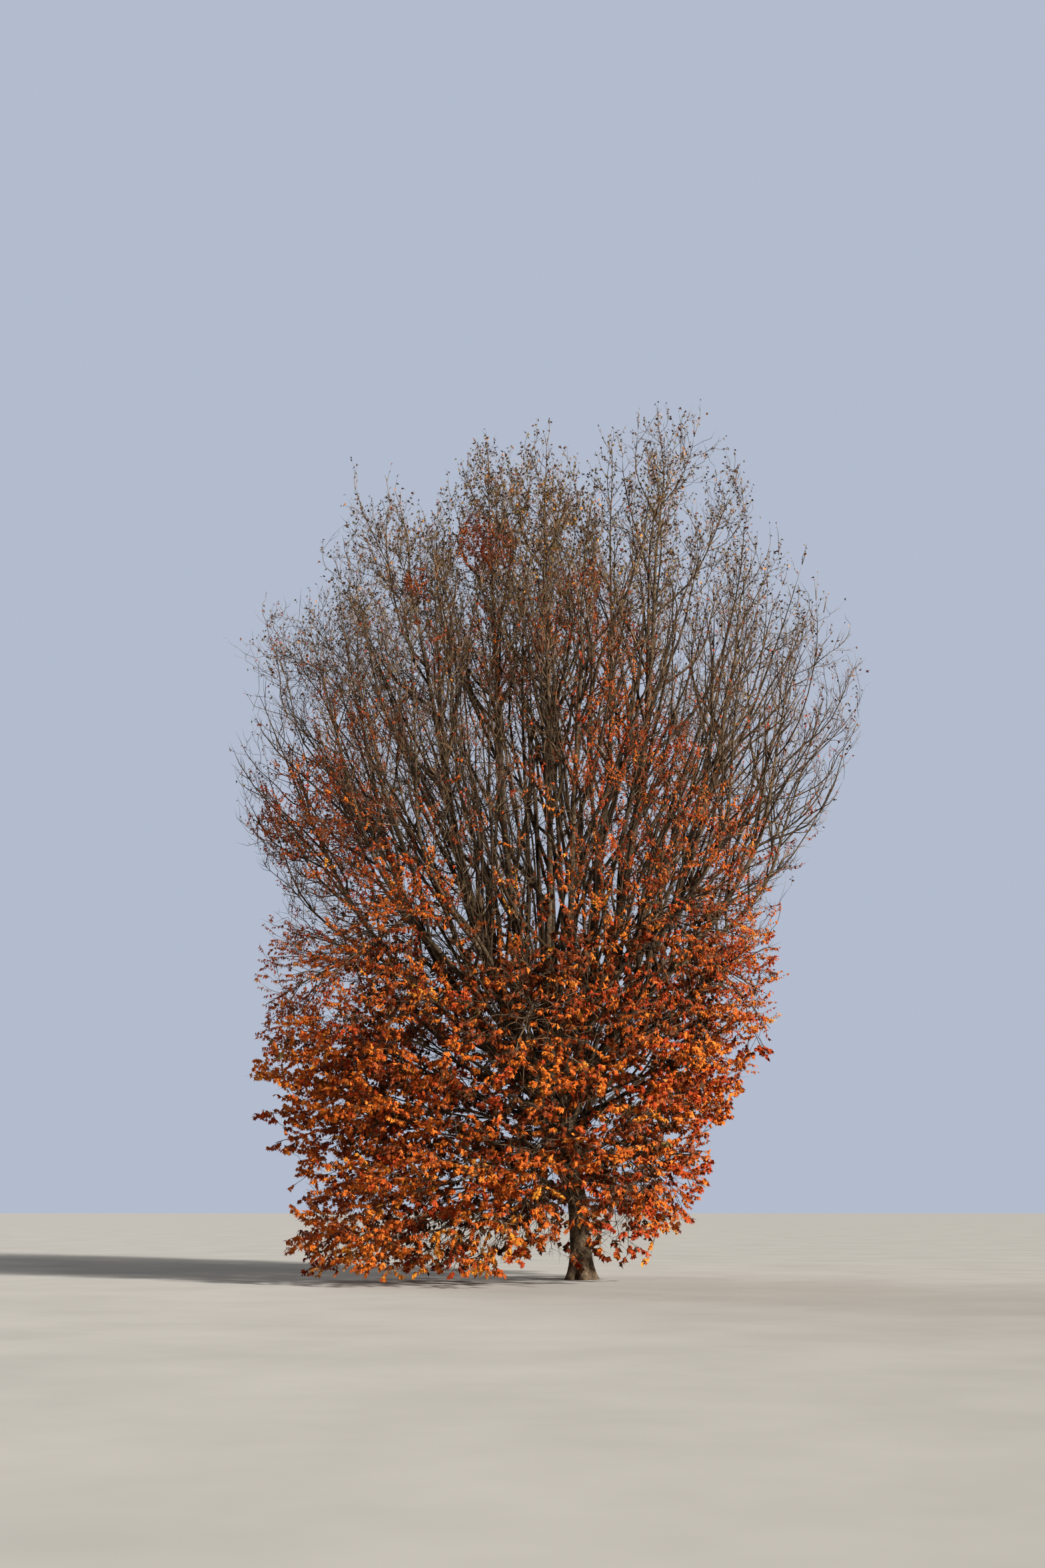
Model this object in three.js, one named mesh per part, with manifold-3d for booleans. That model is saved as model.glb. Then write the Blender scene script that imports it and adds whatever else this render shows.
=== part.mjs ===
// A broad autumn maple with a short trunk, a fan of steep boughs and a crown of
// uneven masses: heavy leafy ones low down, thin twiggy plumes at the top.
//
// Frame: +Z up, origin at the middle of the flat cut under the trunk, at ground
// level. -Y is the side the tree is looked at from, +X is to the right.
// The tables below are in metres; the solids come out in millimetres.

import * as THREE from "three";
import { mergeVertices } from "three/addons/utils/BufferGeometryUtils.js";
import Module from "manifold-3d";

const wasm = await Module();
wasm.setup();

const MM = 1000;

// ---------------------------------------------------------------- driving sizes

const TRUNK_HEIGHT = 3.9; // ground to the top of the fork
const TRUNK_LEAN = -0.42; // how far the fork stands to the left of the foot
const TRUNK_RADIUS = 0.205; // at breast height
const FLARE_RADIUS = 0.125; // what the root flare adds at the ground
const FLARE_HEIGHT = 0.36; // the height over which the flare dies away
const FLARE_LOBES = 5;
const FORK_SWELL = 0.05; // what the fork adds where the boughs leave
const TRUNK_SIDES = 20;
const TRUNK_RINGS = 11;

const BOUGH_SIDES = 6;
const BOUGH_RINGS = 6;
const BOUGH_END = 0.2; // share of its mass that a bough's line runs into, unless it says

const GROUND_CLEARANCE = 0.16; // the lowest leaves stay this far off the ground
const MASS_GAP = 0.05; // between neighbouring masses
const BOUGH_GAP = 0.04; // between a mass and a bough that passes it
const JOINT_GAP = 0.0006; // where two solids meet

const ROUNDING = 9; // how sharp a mass is where its limits meet, 2 soft, 20 hard
const FOOT_POINT = 2.7; // how blunt the inner end of a mass is
const DETAIL = 2; // subdivision of a mass's surface

// The outline of the whole crown: how far it reaches to the left, to the right,
// to the front and to the back of the foot at each height.
const OUTLINE = [
  { z: 0.15, left: 4.2, right: 0.9, front: 3.0, back: 2.4 },
  { z: 1.0, left: 5.6, right: 2.2, front: 4.3, back: 3.6 },
  { z: 2.0, left: 5.7, right: 2.7, front: 4.8, back: 4.5 },
  { z: 2.9, left: 6.6, right: 2.7, front: 5.0, back: 5.1 },
  { z: 3.5, left: 6.9, right: 3.6, front: 5.2, back: 5.3 },
  { z: 4.2, left: 7.4, right: 4.0, front: 5.4, back: 5.6 },
  { z: 6.0, left: 6.9, right: 4.3, front: 5.7, back: 5.9 },
  { z: 8.0, left: 7.0, right: 4.8, front: 5.8, back: 6.1 },
  { z: 10.0, left: 7.6, right: 5.9, front: 5.8, back: 6.2 },
  { z: 12.0, left: 7.6, right: 6.4, front: 5.5, back: 6.1 },
  { z: 13.6, left: 7.3, right: 6.4, front: 5.0, back: 5.8 },
  { z: 15.0, left: 6.7, right: 5.9, front: 4.3, back: 5.2 },
  { z: 16.5, left: 5.9, right: 5.0, front: 3.4, back: 4.5 },
  { z: 18.0, left: 4.6, right: 3.8, front: 2.7, back: 3.7 },
  { z: 19.2, left: 3.2, right: 3.0, front: 2.1, back: 2.9 },
  { z: 20.3, left: 1.8, right: 2.6, front: 1.4, back: 2.2 },
];

// ---------------------------------------------------------------- the masses
// foot and tip are the two ends of a mass, wide its half width round the tree,
// deep its half thickness, belly where along it is widest, point how sharp its
// tip is (2 round, under 2 pointed), rough how uneven it is.
// A bough leaves its parent at the share "from" of the parent's own line (or at
// that height in metres on the trunk) with base radius r, and starts off at
// "rise" degrees above level. It runs on into its mass by the share "into".

const MASSES = {
  // plumes at the top, bare twigs with a few last leaves
  top_far_left: { foot: [-2.9, -0.6, 10.6], tip: [-4.35, -1.0, 18.6], wide: 2.2, deep: 2.2, belly: 0.4, point: 1.5, rough: 0.1 },
  top_left: { foot: [-1.7, 1.0, 11.4], tip: [-2.15, 1.0, 20.2], wide: 2.1, deep: 2.3, belly: 0.42, point: 1.5, rough: 0.1 },
  top_middle: { foot: [-0.6, -1.0, 11.2], tip: [-0.8, -1.0, 19.5], wide: 2.1, deep: 2.3, belly: 0.42, point: 1.5, rough: 0.1 },
  top_right: { foot: [0.9, 1.7, 11.8], tip: [0.9, 2.0, 20.5], wide: 2.0, deep: 2.2, belly: 0.42, point: 1.5, rough: 0.1 },
  top_crest: { foot: [1.5, -0.6, 11.0], tip: [2.2, -0.4, 20.3], wide: 2.1, deep: 2.2, belly: 0.46, point: 1.6, rough: 0.1 },
  top_far_right: { foot: [3.1, 0.9, 10.4], tip: [4.6, 1.0, 18.8], wide: 2.0, deep: 2.2, belly: 0.42, point: 1.5, rough: 0.1 },
  top_back: { foot: [-0.6, 3.2, 11.0], tip: [-0.7, 3.9, 19.0], wide: 2.6, deep: 2.2, belly: 0.42, point: 1.6, rough: 0.1 },
  // the ring of plumes below them
  upper_left_back: { foot: [-4.2, 2.0, 8.4], tip: [-6.0, 2.0, 17.8], wide: 2.3, deep: 2.2, belly: 0.42, point: 1.7, rough: 0.1 },
  upper_left: { foot: [-4.3, -1.5, 8.0], tip: [-6.6, -1.5, 16.4], wide: 2.3, deep: 2.2, belly: 0.42, point: 1.7, rough: 0.1 },
  upper_far_left: { foot: [-4.8, 0.2, 7.4], tip: [-7.8, 0.2, 13.9], wide: 2.5, deep: 2.1, belly: 0.48, point: 2.0, rough: 0.1 },
  upper_front_left: { foot: [-3.3, -3.1, 7.8], tip: [-3.6, -4.4, 15.2], wide: 2.5, deep: 2.1, belly: 0.43, point: 1.7, rough: 0.11 },
  upper_front: { foot: [-0.1, -3.0, 10.6], tip: [0.2, -4.0, 16.3], wide: 2.5, deep: 2.0, belly: 0.42, point: 1.7, rough: 0.11 },
  upper_front_right: { foot: [2.9, -2.7, 8.0], tip: [3.6, -3.7, 15.8], wide: 2.3, deep: 2.1, belly: 0.43, point: 1.7, rough: 0.11 },
  upper_right: { foot: [3.8, -1.0, 8.2], tip: [5.4, -1.2, 16.7], wide: 2.2, deep: 2.1, belly: 0.42, point: 1.6, rough: 0.1 },
  upper_far_right: { foot: [4.1, 1.2, 7.7], tip: [6.6, 1.2, 15.3], wide: 2.3, deep: 2.1, belly: 0.46, point: 1.8, rough: 0.1 },
  upper_back_right: { foot: [2.3, 3.2, 7.8], tip: [3.3, 4.5, 17.2], wide: 2.7, deep: 2.2, belly: 0.45, point: 1.7, rough: 0.11 },
  upper_back_left: { foot: [-2.6, 3.4, 7.8], tip: [-3.6, 4.7, 17.0], wide: 2.8, deep: 2.2, belly: 0.45, point: 1.7, rough: 0.11 },
  // the leafy ring at mid height, each mass drooping outwards
  middle_left: { foot: [-2.8, 0.3, 8.0], tip: [-7.8, 0.2, 5.2], wide: 2.8, deep: 3.1, belly: 0.5, point: 2.2, rough: 0.12 },
  middle_front_left: { foot: [-2.9, -2.1, 7.9], tip: [-5.6, -4.9, 5.0], wide: 2.5, deep: 3.1, belly: 0.5, point: 2.2, rough: 0.12 },
  middle_front: { foot: [-0.9, -2.3, 5.7], tip: [-1.5, -6.0, 3.8], wide: 2.6, deep: 1.6, belly: 0.5, point: 2.2, rough: 0.12 },
  middle_front_right: { foot: [1.5, -1.8, 7.8], tip: [3.3, -4.9, 4.8], wide: 2.4, deep: 3.1, belly: 0.5, point: 2.2, rough: 0.12 },
  middle_right: { foot: [1.6, 0.3, 8.1], tip: [5.0, 0.3, 4.4], wide: 2.8, deep: 3.1, belly: 0.52, point: 2.2, rough: 0.12 },
  middle_back_right: { foot: [0.7, 2.1, 7.9], tip: [2.6, 5.7, 5.0], wide: 3.0, deep: 3.1, belly: 0.5, point: 2.2, rough: 0.12 },
  middle_back_left: { foot: [-2.1, 2.1, 7.9], tip: [-4.0, 5.8, 5.0], wide: 3.2, deep: 3.1, belly: 0.5, point: 2.2, rough: 0.12 },
  // the skirt close to the ground, lowest at the front left
  skirt_left: { foot: [-1.8, 0.3, 3.7], tip: [-7.2, 0.1, 2.6], wide: 2.8, deep: 2.4, belly: 0.55, point: 2.3, rough: 0.12 },
  skirt_front_left: { foot: [-1.3, -1.2, 2.4], tip: [-5.6, -3.9, 0.8], wide: 2.6, deep: 2.0, belly: 0.56, point: 2.3, rough: 0.12 },
  skirt_front: { foot: [-0.7, -1.4, 3.0], tip: [-1.4, -5.2, 1.7], wide: 2.4, deep: 1.7, belly: 0.55, point: 2.3, rough: 0.12 },
  skirt_front_right: { foot: [0.4, -0.8, 3.0], tip: [3.1, -2.9, 1.45], wide: 2.7, deep: 1.5, belly: 0.55, point: 2.3, rough: 0.12 },
  skirt_back: { foot: [-0.4, 1.2, 3.4], tip: [-0.3, 5.4, 2.3], wide: 3.9, deep: 2.3, belly: 0.48, point: 2.3, rough: 0.12 },
};

const BOUGHS = {
  // the great boughs of the fan, from the fork
  top_left: { parent: "trunk", from: 3.72, r: 0.12, rise: 64 },
  top_crest: { parent: "trunk", from: 3.72, r: 0.118, rise: 66 },
  top_far_left: { parent: "trunk", from: 3.3, r: 0.108, rise: 56 },
  upper_left_back: { parent: "trunk", from: 3.05, r: 0.1, rise: 50 },
  top_far_right: { parent: "trunk", from: 3.35, r: 0.112, rise: 58 },
  upper_front: { parent: "trunk", from: 3.45, r: 0.092, rise: 66 },
  top_back: { parent: "trunk", from: 3.45, r: 0.104, rise: 62 },
  // their own great forks
  top_middle: { parent: "top_left", from: 0.1, r: 0.092, rise: 78 },
  top_right: { parent: "top_crest", from: 0.12, r: 0.09, rise: 78 },
  upper_left: { parent: "top_far_left", from: 0.13, r: 0.082, rise: 52 },
  upper_far_left: { parent: "upper_left_back", from: 0.12, r: 0.08, rise: 42 },
  upper_front_left: { parent: "top_far_left", from: 0.24, r: 0.066, rise: 62 },
  upper_front_right: { parent: "upper_front", from: 0.16, r: 0.07, rise: 62 },
  upper_right: { parent: "top_far_right", from: 0.14, r: 0.08, rise: 55 },
  upper_far_right: { parent: "top_far_right", from: 0.27, r: 0.072, rise: 45 },
  upper_back_right: { parent: "top_back", from: 0.14, r: 0.076, rise: 58 },
  upper_back_left: { parent: "top_back", from: 0.24, r: 0.07, rise: 60 },
  // the side boughs of the leafy ring
  middle_left: { parent: "trunk", from: 2.75, r: 0.072, rise: 46, into: 0.42 },
  middle_front_left: { parent: "trunk", from: 2.9, r: 0.064, rise: 56 },
  middle_front: { parent: "trunk", from: 2.55, r: 0.06, rise: 58 },
  middle_front_right: { parent: "trunk", from: 2.95, r: 0.062, rise: 60 },
  middle_right: { parent: "trunk", from: 2.75, r: 0.07, rise: 62, into: 0.38 },
  middle_back_right: { parent: "trunk", from: 2.65, r: 0.064, rise: 58 },
  middle_back_left: { parent: "trunk", from: 2.45, r: 0.066, rise: 58 },
  // the low boughs of the skirt
  skirt_left: { parent: "trunk", from: 1.95, r: 0.058, rise: 36 },
  skirt_front_left: { parent: "trunk", from: 1.55, r: 0.05, rise: 34 },
  skirt_front: { parent: "trunk", from: 1.8, r: 0.048, rise: 42 },
  skirt_front_right: { parent: "trunk", from: 2.1, r: 0.052, rise: 46 },
  skirt_back: { parent: "trunk", from: 1.9, r: 0.055, rise: 42 },
};

// ---------------------------------------------------------------- small helpers

const V = (a) => new THREE.Vector3(a[0], a[1], a[2]);
const smooth = (t) => t * t * (3 - 2 * t);

// A repeatable stream of numbers from 0 to 1, from a name.
function stream(name) {
  let s = 2166136261;
  for (const c of name) s = Math.imul(s ^ c.charCodeAt(0), 16777619);
  return () => {
    s = (s + 0x6d2b79f5) | 0;
    let t = Math.imul(s ^ (s >>> 15), 1 | s);
    t = (t + Math.imul(t ^ (t >>> 7), 61 | t)) ^ t;
    return ((t ^ (t >>> 14)) >>> 0) / 4294967296;
  };
}

// A three.js geometry, positions only, as a solid, and back again.
function solidOf(geometry) {
  const g = geometry.clone();
  g.deleteAttribute("normal");
  g.deleteAttribute("uv");
  const merged = mergeVertices(g, 1e-5);
  return new wasm.Manifold(
    new wasm.Mesh({
      numProp: 3,
      vertProperties: merged.attributes.position.array,
      triVerts: new Uint32Array(merged.index.array),
    }),
  );
}

function geometryOf(solid) {
  const m = solid.getMesh();
  const points = new Float32Array(m.numVert * 3);
  for (let i = 0; i < m.numVert; i++)
    for (let k = 0; k < 3; k++)
      points[3 * i + k] = m.vertProperties[i * m.numProp + k];
  const g = new THREE.BufferGeometry()
    .setAttribute("position", new THREE.BufferAttribute(points, 3))
    .setIndex(new THREE.BufferAttribute(m.triVerts, 1));
  g.computeVertexNormals();
  return g;
}

const largest = (solid) =>
  solid.decompose().reduce((a, b) => (a.volume() > b.volume() ? a : b));

// ---------------------------------------------------------------- the trunk

// The middle of the trunk at a height in metres, and its radius there.
function trunkPoint(z) {
  const t = z / TRUNK_HEIGHT;
  return new THREE.Vector3(
    TRUNK_LEAN * t * t,
    0.05 * Math.sin(2.4 * t),
    z,
  );
}
function trunkRadius(z, angle) {
  const flare = Math.exp(-z / FLARE_HEIGHT);
  const lobes = 1 + 0.22 * flare * Math.cos(FLARE_LOBES * angle + 0.7);
  const fork =
    FORK_SWELL * Math.exp(-(((z - 2.95) / 0.75) ** 2)) -
    0.055 * smooth(Math.max(0, (z - 3.2) / (TRUNK_HEIGHT - 3.2)));
  return (
    (TRUNK_RADIUS - 0.006 * z + FLARE_RADIUS * flare + fork) *
    lobes *
    (1 + 0.025 * Math.sin(3 * angle + 1.9 * z))
  );
}

// A closed cylinder whose rings follow the trunk. grow is added to its radius.
function trunkSolid(grow = 0) {
  const g = new THREE.CylinderGeometry(1, 1, 1, TRUNK_SIDES, TRUNK_RINGS);
  const p = g.attributes.position;
  for (let i = 0; i < p.count; i++) {
    const share = p.getY(i) + 0.5;
    const z = TRUNK_HEIGHT * share ** 1.5; // closer rings at the flare
    const out = Math.hypot(p.getX(i), p.getZ(i));
    const angle = Math.atan2(-p.getZ(i), p.getX(i));
    const r = out * (trunkRadius(z, angle) + grow);
    const middle = trunkPoint(z);
    p.setXYZ(
      i,
      (middle.x + r * Math.cos(angle)) * MM,
      (middle.y + r * Math.sin(angle)) * MM,
      (z + (share > 0.999 ? grow : 0)) * MM,
    );
  }
  return solidOf(g);
}

// ---------------------------------------------------------------- the boughs

const curves = {};

// The line of a bough: off its parent at its own rise, and into its mass along
// the mass's own axis.
function boughCurve(name) {
  if (curves[name]) return curves[name];
  const b = BOUGHS[name];
  const m = MASSES[name];
  const foot = V(m.foot);
  const tip = V(m.tip);
  const end = foot.clone().lerp(tip, b.into ?? BOUGH_END);
  const axis = tip.clone().sub(foot).normalize();
  const start =
    b.parent === "trunk"
      ? trunkPoint(b.from)
      : boughCurve(b.parent).getPoint(b.from);
  const level = end.clone().sub(start).setZ(0).normalize();
  const rise = THREE.MathUtils.degToRad(b.rise);
  const leave = level
    .clone()
    .multiplyScalar(Math.cos(rise))
    .add(new THREE.Vector3(0, 0, Math.sin(rise)));
  const long = end.distanceTo(start);
  curves[name] = new THREE.CubicBezierCurve3(
    start,
    start.clone().addScaledVector(leave, 0.34 * long),
    end.clone().addScaledVector(axis, -0.34 * long),
    end,
  );
  return curves[name];
}

// The radius of a bough at the share t of its line.
const boughRadius = (name, t) => BOUGHS[name].r * (1 - 0.5 * t ** 0.8);

// A closed cylinder bent along the bough's line.
function boughSolid(name, grow = 0) {
  const curve = boughCurve(name);
  const side = curve.getPoint(1).sub(curve.getPoint(0)).setZ(0);
  side.set(-side.y, side.x, 0).normalize(); // level, across the bough's own plane
  const g = new THREE.CylinderGeometry(1, 1, 1, BOUGH_SIDES, BOUGH_RINGS);
  const p = g.attributes.position;
  for (let i = 0; i < p.count; i++) {
    const t = p.getY(i) + 0.5;
    const middle = curve.getPoint(t);
    const along = curve.getTangent(t);
    const across = side.clone().addScaledVector(along, -side.dot(along)).normalize();
    const up = along.clone().cross(across);
    const r = boughRadius(name, t) + grow;
    middle
      .addScaledVector(across, p.getX(i) * r)
      .addScaledVector(up, -p.getZ(i) * r);
    if (grow) middle.addScaledVector(along, (t > 0.999 ? 1 : t < 0.001 ? -1 : 0) * grow);
    p.setXYZ(i, middle.x * MM, middle.y * MM, middle.z * MM);
  }
  const made = solidOf(g);
  if (made.volume() > 0) return made;
  throw new Error(name + " is inside out");
}

// ---------------------------------------------------------------- the masses

const massMiddle = (m) => V(m.foot).lerp(V(m.tip), m.belly);

// The mass's own axes: along it, round the tree, and through its thickness.
function massAxes(m) {
  const along = V(m.tip).sub(V(m.foot)).normalize();
  const middle = massMiddle(m);
  let out = new THREE.Vector3(middle.x + 0.4, middle.y, 0);
  if (out.length() < 0.3) out = new THREE.Vector3(0, -1, 0);
  const round = new THREE.Vector3(-out.y, out.x, 0).normalize();
  round.addScaledVector(along, -round.dot(along)).normalize();
  return { along, round, through: along.clone().cross(round).normalize() };
}

// How far a mass reaches from its middle in a direction, before it is fitted in
// among its neighbours.
function massReach(m, direction) {
  const { along, round, through } = massAxes(m);
  const long = V(m.tip).distanceTo(V(m.foot));
  const a = direction.dot(along);
  const half = a > 0 ? (1 - m.belly) * long : m.belly * long;
  const p = a > 0 ? m.point : FOOT_POINT;
  const sum =
    Math.abs(direction.dot(round) / m.wide) ** p +
    Math.abs(direction.dot(through) / m.deep) ** p +
    Math.abs(a / half) ** p;
  return sum ** (-1 / p);
}

// Slow waves over a mass, so that it is lumpy in its own way.
function massWaves(name) {
  const next = stream(name);
  const waves = [];
  for (let k = 0; k < 7; k++) {
    const d = new THREE.Vector3(next() - 0.5, next() - 0.5, next() - 0.5).normalize();
    waves.push([d.multiplyScalar(2.2 + 3.6 * next()), 6.283 * next(), 1 / (1 + 0.35 * k)]);
  }
  return (u) =>
    waves.reduce((s, [d, phase, size]) => s + size * Math.sin(d.dot(u) + phase), 0) / 2.6;
}

// The crown's outline at a height, between the rows of the table.
function outlineAt(z) {
  let i = 0;
  while (i < OUTLINE.length - 2 && z > OUTLINE[i + 1].z) i++;
  const [a, b] = [OUTLINE[i], OUTLINE[i + 1]];
  const t = THREE.MathUtils.clamp((z - a.z) / (b.z - a.z), 0, 1);
  const mix = (k) => a[k] + (b[k] - a[k]) * t;
  return { left: mix("left"), right: mix("right"), front: mix("front"), back: mix("back") };
}

// How far it is from a point to the crown's outline in a direction.
function outlineReach(middle, u) {
  const q = middle.clone();
  let s = 0;
  for (; s < 12; s += 0.04) {
    q.copy(middle).addScaledVector(u, s);
    const o = outlineAt(q.z);
    const x = q.x / (q.x < 0 ? o.left : o.right);
    const y = q.y / (q.y < 0 ? o.front : o.back);
    if (Math.abs(x) ** 2.2 + Math.abs(y) ** 2.2 > 1) break;
  }
  return Math.max(s, 0.2);
}

// The flat limits of a mass: halfway to each neighbour by their reach, and clear
// of every bough that passes it and of the trunk.
function massLimits(name) {
  const m = MASSES[name];
  const middle = massMiddle(m);
  const neighbours = [];
  const wood = [];
  for (const [other, o] of Object.entries(MASSES)) {
    if (other === name) continue;
    const apart = massMiddle(o).sub(middle);
    const far = apart.length();
    const n = apart.clone().divideScalar(far);
    const mine = massReach(m, n);
    const theirs = massReach(o, n.clone().negate());
    neighbours.push({ n, d: (far * mine) / (mine + theirs) - MASS_GAP / 2 });
  }
  const keepOff = (q, r) => {
    const apart = q.clone().sub(middle);
    const far = apart.length();
    wood.push({ n: apart.divideScalar(far), d: far - r - BOUGH_GAP });
  };
  for (const other of Object.keys(BOUGHS)) {
    if (other === name) continue;
    const curve = boughCurve(other);
    for (let i = 0; i <= 60; i++)
      keepOff(curve.getPoint(i / 60), boughRadius(other, i / 60) + 0.01);
  }
  for (let i = 0; i <= 16; i++)
    keepOff(trunkPoint((TRUNK_HEIGHT * i) / 16), 0.32);
  return { neighbours, wood };
}

function massSolid(name) {
  const m = MASSES[name];
  const { along, round, through } = massAxes(m);
  const middle = massMiddle(m);
  const waves = massWaves(name);
  const { neighbours, wood } = massLimits(name);
  const long = V(m.tip).distanceTo(V(m.foot));
  const g = new THREE.IcosahedronGeometry(1, DETAIL);
  const p = g.attributes.position;
  for (let i = 0; i < p.count; i++) {
    const v = new THREE.Vector3(p.getX(i), p.getY(i), p.getZ(i)).normalize();
    const half = v.z > 0 ? (1 - m.belly) * long : m.belly * long;
    const u = round
      .clone()
      .multiplyScalar(v.x * m.wide)
      .addScaledVector(through, v.y * m.deep)
      .addScaledVector(along, v.z * half)
      .normalize();
    const uneven = 1 + m.rough * waves(v);
    // the soft least of the mass's own reach, the outline and its neighbours
    let sum =
      (massReach(m, u) * uneven) ** -ROUNDING +
      (outlineReach(middle, u) * uneven) ** -ROUNDING;
    for (const { n, d } of neighbours) {
      const toward = u.dot(n);
      if (toward > 1e-6) sum += (d / toward) ** -ROUNDING;
    }
    let reach = sum ** (-1 / ROUNDING);
    for (const { n, d } of wood) {
      const toward = u.dot(n);
      if (toward > 1e-6) reach = Math.min(reach, d / toward);
    }
    if (u.z < 0) reach = Math.min(reach, (middle.z - GROUND_CLEARANCE) / -u.z);
    p.setXYZ(
      i,
      (middle.x + u.x * reach) * MM,
      (middle.y + u.y * reach) * MM,
      (middle.z + u.z * reach) * MM,
    );
  }
  const made = solidOf(g);
  if (made.volume() > 0) return made;
  throw new Error(name + " is inside out");
}

// ---------------------------------------------------------------- the tree

const BARK = new THREE.MeshStandardMaterial({ name: "bark", color: 0x6b5f50, roughness: 0.9, metalness: 0 });
const ORANGE = new THREE.MeshStandardMaterial({ name: "leaves", color: 0xc4561a, roughness: 0.7, metalness: 0 });
const TWIGGY = new THREE.MeshStandardMaterial({ name: "twigs", color: 0x8a7460, roughness: 0.85, metalness: 0 });

const tree = new THREE.Group();
function put(name, solid, material) {
  const mesh = new THREE.Mesh(geometryOf(solid), material);
  mesh.name = name;
  tree.add(mesh);
}

const trunk = trunkSolid();
const aroundTrunk = trunkSolid(JOINT_GAP);
put("trunk", trunk, BARK);

const masses = {};
for (const name of Object.keys(MASSES)) {
  masses[name] = massSolid(name);
  put(
    "mass_" + name,
    masses[name],
    name.startsWith("top") || name.startsWith("upper") ? TWIGGY : ORANGE,
  );
}

// A bough stops short of the trunk, of the boughs before it and of its mass.
const cutters = [aroundTrunk];
for (const name of Object.keys(BOUGHS)) {
  const middle = massMiddle(MASSES[name]).multiplyScalar(MM);
  const k = 1.0006;
  const ownMass = masses[name]
    .translate([-middle.x, -middle.y, -middle.z])
    .scale([k, k, k])
    .translate([middle.x, middle.y, middle.z]);
  let solid = boughSolid(name).subtract(ownMass);
  for (const cutter of cutters)
    if (solid.intersect(cutter).volume() > 0) solid = solid.subtract(cutter);
  put("bough_" + name, largest(solid), BARK);
  cutters.push(boughSolid(name, JOINT_GAP));
}

export default tree;
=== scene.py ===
"""A broad autumn maple: a short trunk, a steep fan of boughs, leafy lower masses of
orange and bare twiggy plumes at the top.

Each bough of the frame runs on through its own mass, and limbs, branches, twigs and
leaves grow on from it by one seeded rule, held inside the masses of the frame.
Metres, +Z up, the origin at the foot of the trunk, seen from -Y.
"""

import math

import bpy  # noqa: E402
import numpy as np  # noqa: E402
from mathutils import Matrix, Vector  # noqa: E402
from mathutils.bvhtree import BVHTree  # noqa: E402
from mathutils.kdtree import KDTree  # noqa: E402


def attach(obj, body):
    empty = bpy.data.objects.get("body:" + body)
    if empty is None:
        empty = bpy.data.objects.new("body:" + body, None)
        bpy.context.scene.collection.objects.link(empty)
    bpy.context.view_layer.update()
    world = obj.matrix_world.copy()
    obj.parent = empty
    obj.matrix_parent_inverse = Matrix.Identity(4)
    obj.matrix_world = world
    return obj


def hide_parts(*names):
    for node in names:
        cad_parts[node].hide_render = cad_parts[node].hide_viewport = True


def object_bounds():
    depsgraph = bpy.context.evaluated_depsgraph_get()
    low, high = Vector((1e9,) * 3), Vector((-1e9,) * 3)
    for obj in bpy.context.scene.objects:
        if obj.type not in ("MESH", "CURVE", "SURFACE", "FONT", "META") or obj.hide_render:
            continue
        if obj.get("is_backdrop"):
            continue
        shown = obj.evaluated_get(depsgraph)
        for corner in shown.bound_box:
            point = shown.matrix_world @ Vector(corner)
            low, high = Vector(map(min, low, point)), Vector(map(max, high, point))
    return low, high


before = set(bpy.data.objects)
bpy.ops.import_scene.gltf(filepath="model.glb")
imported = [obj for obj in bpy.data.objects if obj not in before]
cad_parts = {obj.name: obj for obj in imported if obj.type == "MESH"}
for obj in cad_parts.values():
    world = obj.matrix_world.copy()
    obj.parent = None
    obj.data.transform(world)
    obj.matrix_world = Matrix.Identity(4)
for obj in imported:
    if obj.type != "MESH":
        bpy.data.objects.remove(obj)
cad_low, cad_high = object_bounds()

SEED = 20417
rng = np.random.default_rng(SEED)

# ------------------------------------------------------------------ named sizes

TRUNK_HEIGHT = 3.9
TRUNK_LEAN = -0.42
TRUNK_RADIUS = 0.205
FLARE_RADIUS = 0.125
FLARE_HEIGHT = 0.36
FLARE_LOBES = 5
FORK_SWELL = 0.05

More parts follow.
